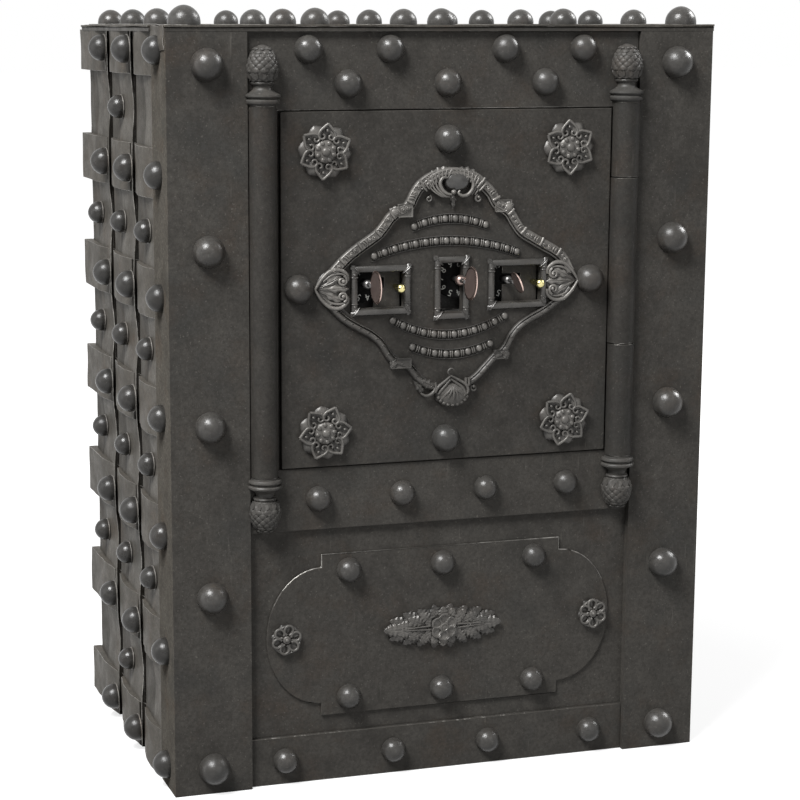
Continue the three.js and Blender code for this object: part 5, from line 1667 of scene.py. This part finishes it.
class STRONGBOX_OT_windows(bpy.types.Operator):
    """Model the window frames, dials, thumb turns and shutters of the lock"""
    bl_idname = "strongbox.windows"
    bl_label = "Lock windows"

    def execute(self, context):
        for name, body in (("left", "left_turn"), ("centre", "centre_turn"),
                           ("right", "right_turn")):
            self.window_frame(name + "_window_frame")
            self.dial(name + "_dial", body)
        self.thumb_turn("left_thumb_turn", "left_turn", 0.0042, 0.0150, 0.024, 0)
        self.thumb_turn("centre_thumb_turn", "centre_turn", 0.0048, 0.0152, 0.027, 5)
        self.thumb_turn("right_thumb_turn", "right_turn", 0.0040, 0.0103, 0.0225, -22)
        for name in ("left", "right"):
            self.shutter(name)
        return {"FINISHED"}

    def window_frame(self, node):
        """Four half-round bars with leafy mitres and small rings near the ends."""
        low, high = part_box(node)
        bar = WINDOW_BAR
        proud = high.y - low.y
        middle = (low + high) / 2
        half = Vector(((high.x - low.x) / 2, (high.z - low.z) / 2))
        clear()
        bpy.ops.mesh.primitive_plane_add(size=1)
        obj = bpy.context.object
        obj.scale = (2 * half.x, 2 * half.y, 1)
        settle(obj)
        edit(obj)
        bpy.ops.mesh.inset(thickness=bar)
        bpy.ops.mesh.delete(type="FACE")
        bpy.ops.mesh.select_all(action="SELECT")
        bpy.ops.mesh.extrude_region_move(TRANSFORM_OT_translate={"value": (0, 0, proud)})
        bpy.ops.object.mode_set(mode="OBJECT")
        closed(obj)
        edit(obj)
        choose(obj, "edges", lambda edge: edge.calc_face_angle(0) > 1
               and all(vertex.co.z > proud - TOUCH for vertex in edge.verts))
        bpy.ops.mesh.bevel(offset=bar * 0.46, segments=5, profile=0.5, affect="EDGES")
        bpy.ops.object.mode_set(mode="OBJECT")
        parts = [obj]
        for side in (-1, 1):
            for level in (-1, 1):
                corner = Vector((side * (half.x - bar / 2), level * (half.y - bar / 2)))
                angle = Vector((side, level)).angle_signed(Vector((1, 0)), 0)
                leaf = blade(bar * 2.0, bar * 1.0, 1.2, 2, 0.3, 0.24, 0, 0.12, -0.12, 0.0008,
                             (14, 8))
                leaf.data.transform(Matrix.Translation((corner.x - side * bar * 0.75,
                                                        corner.y - level * bar * 0.75,
                                                        proud * 0.78))
                                    @ Matrix.Rotation(angle, 4, "Z"))
                parts.append(leaf)
                bead = ball((corner.x, corner.y - level * bar * 1.15, proud * 0.55),
                            (bar * 0.56, bar * 0.20, proud * 0.62), 12, 8)
                parts.append(bead)
                stud = ball((corner.x, corner.y - level * bar * 0.78, proud * 0.7),
                            (bar * 0.30, bar * 0.24, proud * 0.5), 12, 8)
                parts.append(stud)
        frame_piece = joined(parts, node)
        on_front(frame_piece, middle.x, high.y, middle.z)
        cast_piece([frame_piece], node + "_cast", "door", node, paint="frame")

    def dial(self, node, body):
        """A black disc with plain raised figures near its rim."""
        low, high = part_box(node)
        middle = (low + high) / 2
        disc = cad_copy(node)
        painted(disc, PAINTS["dial"])
        eased(disc, 0.0004)
        placed(disc, node + "_disc", body, "dial_iron", node)
        figures = []
        for number in range(FIGURE_COUNT):
            clear()
            bpy.ops.object.text_add()
            text = bpy.context.object
            text.data.body = str(number)
            text.data.size = FIGURE_SIZE
            text.data.extrude = FIGURE_RELIEF
            text.data.resolution_u = 2
            text.data.align_x = "CENTER"
            text.data.align_y = "CENTER"
            bpy.ops.object.convert(target="MESH")
            figure = bpy.context.object
            turn = Matrix.Rotation(pi / 2 - 2 * pi * (number + 0.5) / FIGURE_COUNT, 4, "Z")
            figure.data.transform(turn @ Matrix.Translation((FIGURE_CIRCLE, 0, 0))
                                  @ Matrix.Rotation(-pi / 2, 4, "Z"))
            figures.append(closed(figure))
        rows = joined(figures, node + "_figures")
        on_front(rows, middle.x, low.y - FIGURE_RELIEF, middle.z)
        painted(rows, PAINTS["figure"])
        placed(rows, node + "_figures", body, "dial_iron")

    def thumb_turn(self, node, body, boss, disc, reach, tilt):
        """A ball boss, a short neck and a coin-like disc held edge on."""
        low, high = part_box(node)
        middle = (low + high) / 2
        disc_level = -low.y - disc
        boss_level = disc_level - reach
        round_boss = ball((0, 0, boss_level), (boss, boss, boss), 28, 18)
        parts = [painted(round_boss, PAINTS["turn_boss" if "centre" in node else "boss"])]
        neck = turned([(0, boss_level), (boss * 0.62, boss_level),
                       (boss * 0.42, boss_level + boss * 1.2), (0.0016, disc_level - disc * 0.92),
                       (0.0020, disc_level - disc * 0.86), (0, disc_level - disc * 0.8)], 24)
        parts.append(painted(neck, PAINTS["boss"]))
        thick = COIN_THICK
        coin = turned([(0, -thick * 0.42), (disc * 0.80, -thick * 0.45), (disc * 0.86, -thick / 2),
                       (disc * 0.97, -thick / 2), (disc, -thick * 0.3), (disc, thick * 0.3),
                       (disc * 0.97, thick / 2), (disc * 0.86, thick / 2),
                       (disc * 0.80, thick * 0.45), (0, thick * 0.42)], 56)
        # The disc's faces take a very dark copy of the coppery steel as a painted dark reflection;
        # the rim keeps the steel's own colour
        painted(coin, PAINTS["turn"], PAINTS["turn_rim"])
        tone(coin, 1, lambda side: Vector((side.calc_center_median().x,
                                           side.calc_center_median().y)).length > disc * 0.88)
        coin.data.transform(Matrix.Translation((0, 0, disc_level))
                            @ Matrix.Rotation(radians(-tilt), 4, "Z")
                            @ Matrix.Rotation(pi / 2, 4, "Y"))
        parts.append(coin)
        spindle = turned([(0, -high.y), (0.0026, -high.y), (0.0026, boss_level), (0, boss_level)],
                         24)
        parts.append(painted(spindle, PAINTS["boss"]))
        obj = joined(parts, node)
        obj.data.transform(Matrix.Translation((middle.x, 0, middle.z)) @ FRONT)
        smooth(obj, 40)
        placed(obj, node + "_polished", body, "turn_steel", node)

    def shutter(self, name):
        """A matt plate with a rubbed edge, and its brass knob on a thin neck with a small ball."""
        body = name + "_shutter"
        plate = cad_copy(body)
        painted(plate, PAINTS["plate"], PAINTS["worn"])
        eased(plate, 0.0003)
        placed(plate, body + "_plate", body, "inner_iron", body)
        node = body + "_knob"
        low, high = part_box(node)
        middle = (low + high) / 2
        size = (high.x - low.x) / 2
        foot = -high.y
        top = -low.y - size + 0.004
        knob = turned([(0, foot), (0.0019, foot), (0.0018, foot + 0.0028),
                       (0.0026, foot + 0.0044), (0.0028, foot + 0.0064), (0.0025, foot + 0.0083),
                       (0.0017, foot + 0.0096), (0.0016, top - size * 0.9),
                       (0.0024, top - size * 0.82), (size * 0.80, top - size * 0.6),
                       (size * 0.96, top - size * 0.28), (size, top),
                       (size * 0.96, top + size * 0.28), (size * 0.80, top + size * 0.6),
                       (size * 0.45, top + size * 0.89), (0, top + size)], 32)
        knob.data.transform(Matrix.Translation((middle.x, 0, middle.z)) @ FRONT)
        painted(knob, PAINTS["brass"])
        smooth(knob, 50)
        placed(knob, node + "_polished", body, "brass", node)


class STRONGBOX_OT_inside(bpy.types.Operator):
    """Dress the frames, chest, cover, bolts and core behind the door"""
    bl_idname = "strongbox.inside"
    bl_label = "Inside and works"

    def execute(self, context):
        works = (
            ("carcass", "inner_iron", "dark", ("door_frame", "latch_bar_front", "latch_bar_back",
                                               "inner_chest")),
            ("door", "inner_iron", "dark", ("door_pan", "door_back_cover", "lock_case")),
            ("carcass", "steel", "steel", ("shelf", "hinge_pin")),
            ("door", "steel", "steel", ("bolt_guide",)),
            ("bolts", "steel", "steel", ("bolt_bar",)),
            ("centre_turn", "steel", "steel", ("bolt_pinion",)),
            ("carcass", "oak", "oak", ("oak_core",)),
        )
        for body, slot, paint, nodes in works:
            for node in nodes:
                obj = cad_copy(node)
                second = [PAINTS["worn"]] if paint == "dark" else []
                painted(obj, PAINTS[paint], *second)
                eased(obj, 0.0005)
                placed(obj, node + "_finished", body, slot, node)
        return {"FINISHED"}


class STRONGBOX_PT_panel(bpy.types.Panel):
    """Lists the steps that build the strongbox"""
    bl_idname = "STRONGBOX_PT_panel"
    bl_label = "Iron strongbox"
    bl_space_type = "VIEW_3D"
    bl_region_type = "UI"
    bl_category = "Strongbox"

    def draw(self, context):
        """Show the settings and then a button for each step."""
        layout = self.layout
        for group in (context.scene.strongbox_sizes, context.scene.strongbox_finish):
            for name in group.__annotations__:
                layout.prop(group, name)
        for step in STEPS:
            layout.operator(step.bl_idname)


STEPS = (STRONGBOX_OT_stage, STRONGBOX_OT_plates, STRONGBOX_OT_lattices, STRONGBOX_OT_nails,
         STRONGBOX_OT_columns, STRONGBOX_OT_finials, STRONGBOX_OT_rosettes,
         STRONGBOX_OT_leaf_spray, STRONGBOX_OT_cartouche, STRONGBOX_OT_bead_rows,
         STRONGBOX_OT_windows, STRONGBOX_OT_inside)
CLASSES = (StrongboxSizes, StrongboxFinish, *STEPS, STRONGBOX_PT_panel)


def register():
    """Add the settings, the steps and the panel."""
    for kind in CLASSES:
        bpy.utils.register_class(kind)
    bpy.types.Scene.strongbox_sizes = PointerProperty(type=StrongboxSizes)
    bpy.types.Scene.strongbox_finish = PointerProperty(type=StrongboxFinish)


def unregister():
    """Take the settings, the steps and the panel away again."""
    del bpy.types.Scene.strongbox_finish
    del bpy.types.Scene.strongbox_sizes
    for kind in reversed(CLASSES):
        bpy.utils.unregister_class(kind)


def main():
    """Build the strongbox step by step."""
    register()
    bpy.ops.strongbox.stage()
    bpy.ops.strongbox.plates()
    bpy.ops.strongbox.lattices()
    bpy.ops.strongbox.nails()
    bpy.ops.strongbox.columns()
    bpy.ops.strongbox.finials()
    bpy.ops.strongbox.rosettes()
    bpy.ops.strongbox.leaf_spray()
    bpy.ops.strongbox.cartouche()
    bpy.ops.strongbox.bead_rows()
    bpy.ops.strongbox.windows()
    bpy.ops.strongbox.inside()
    clear()


if __name__ == "__main__":
    main()
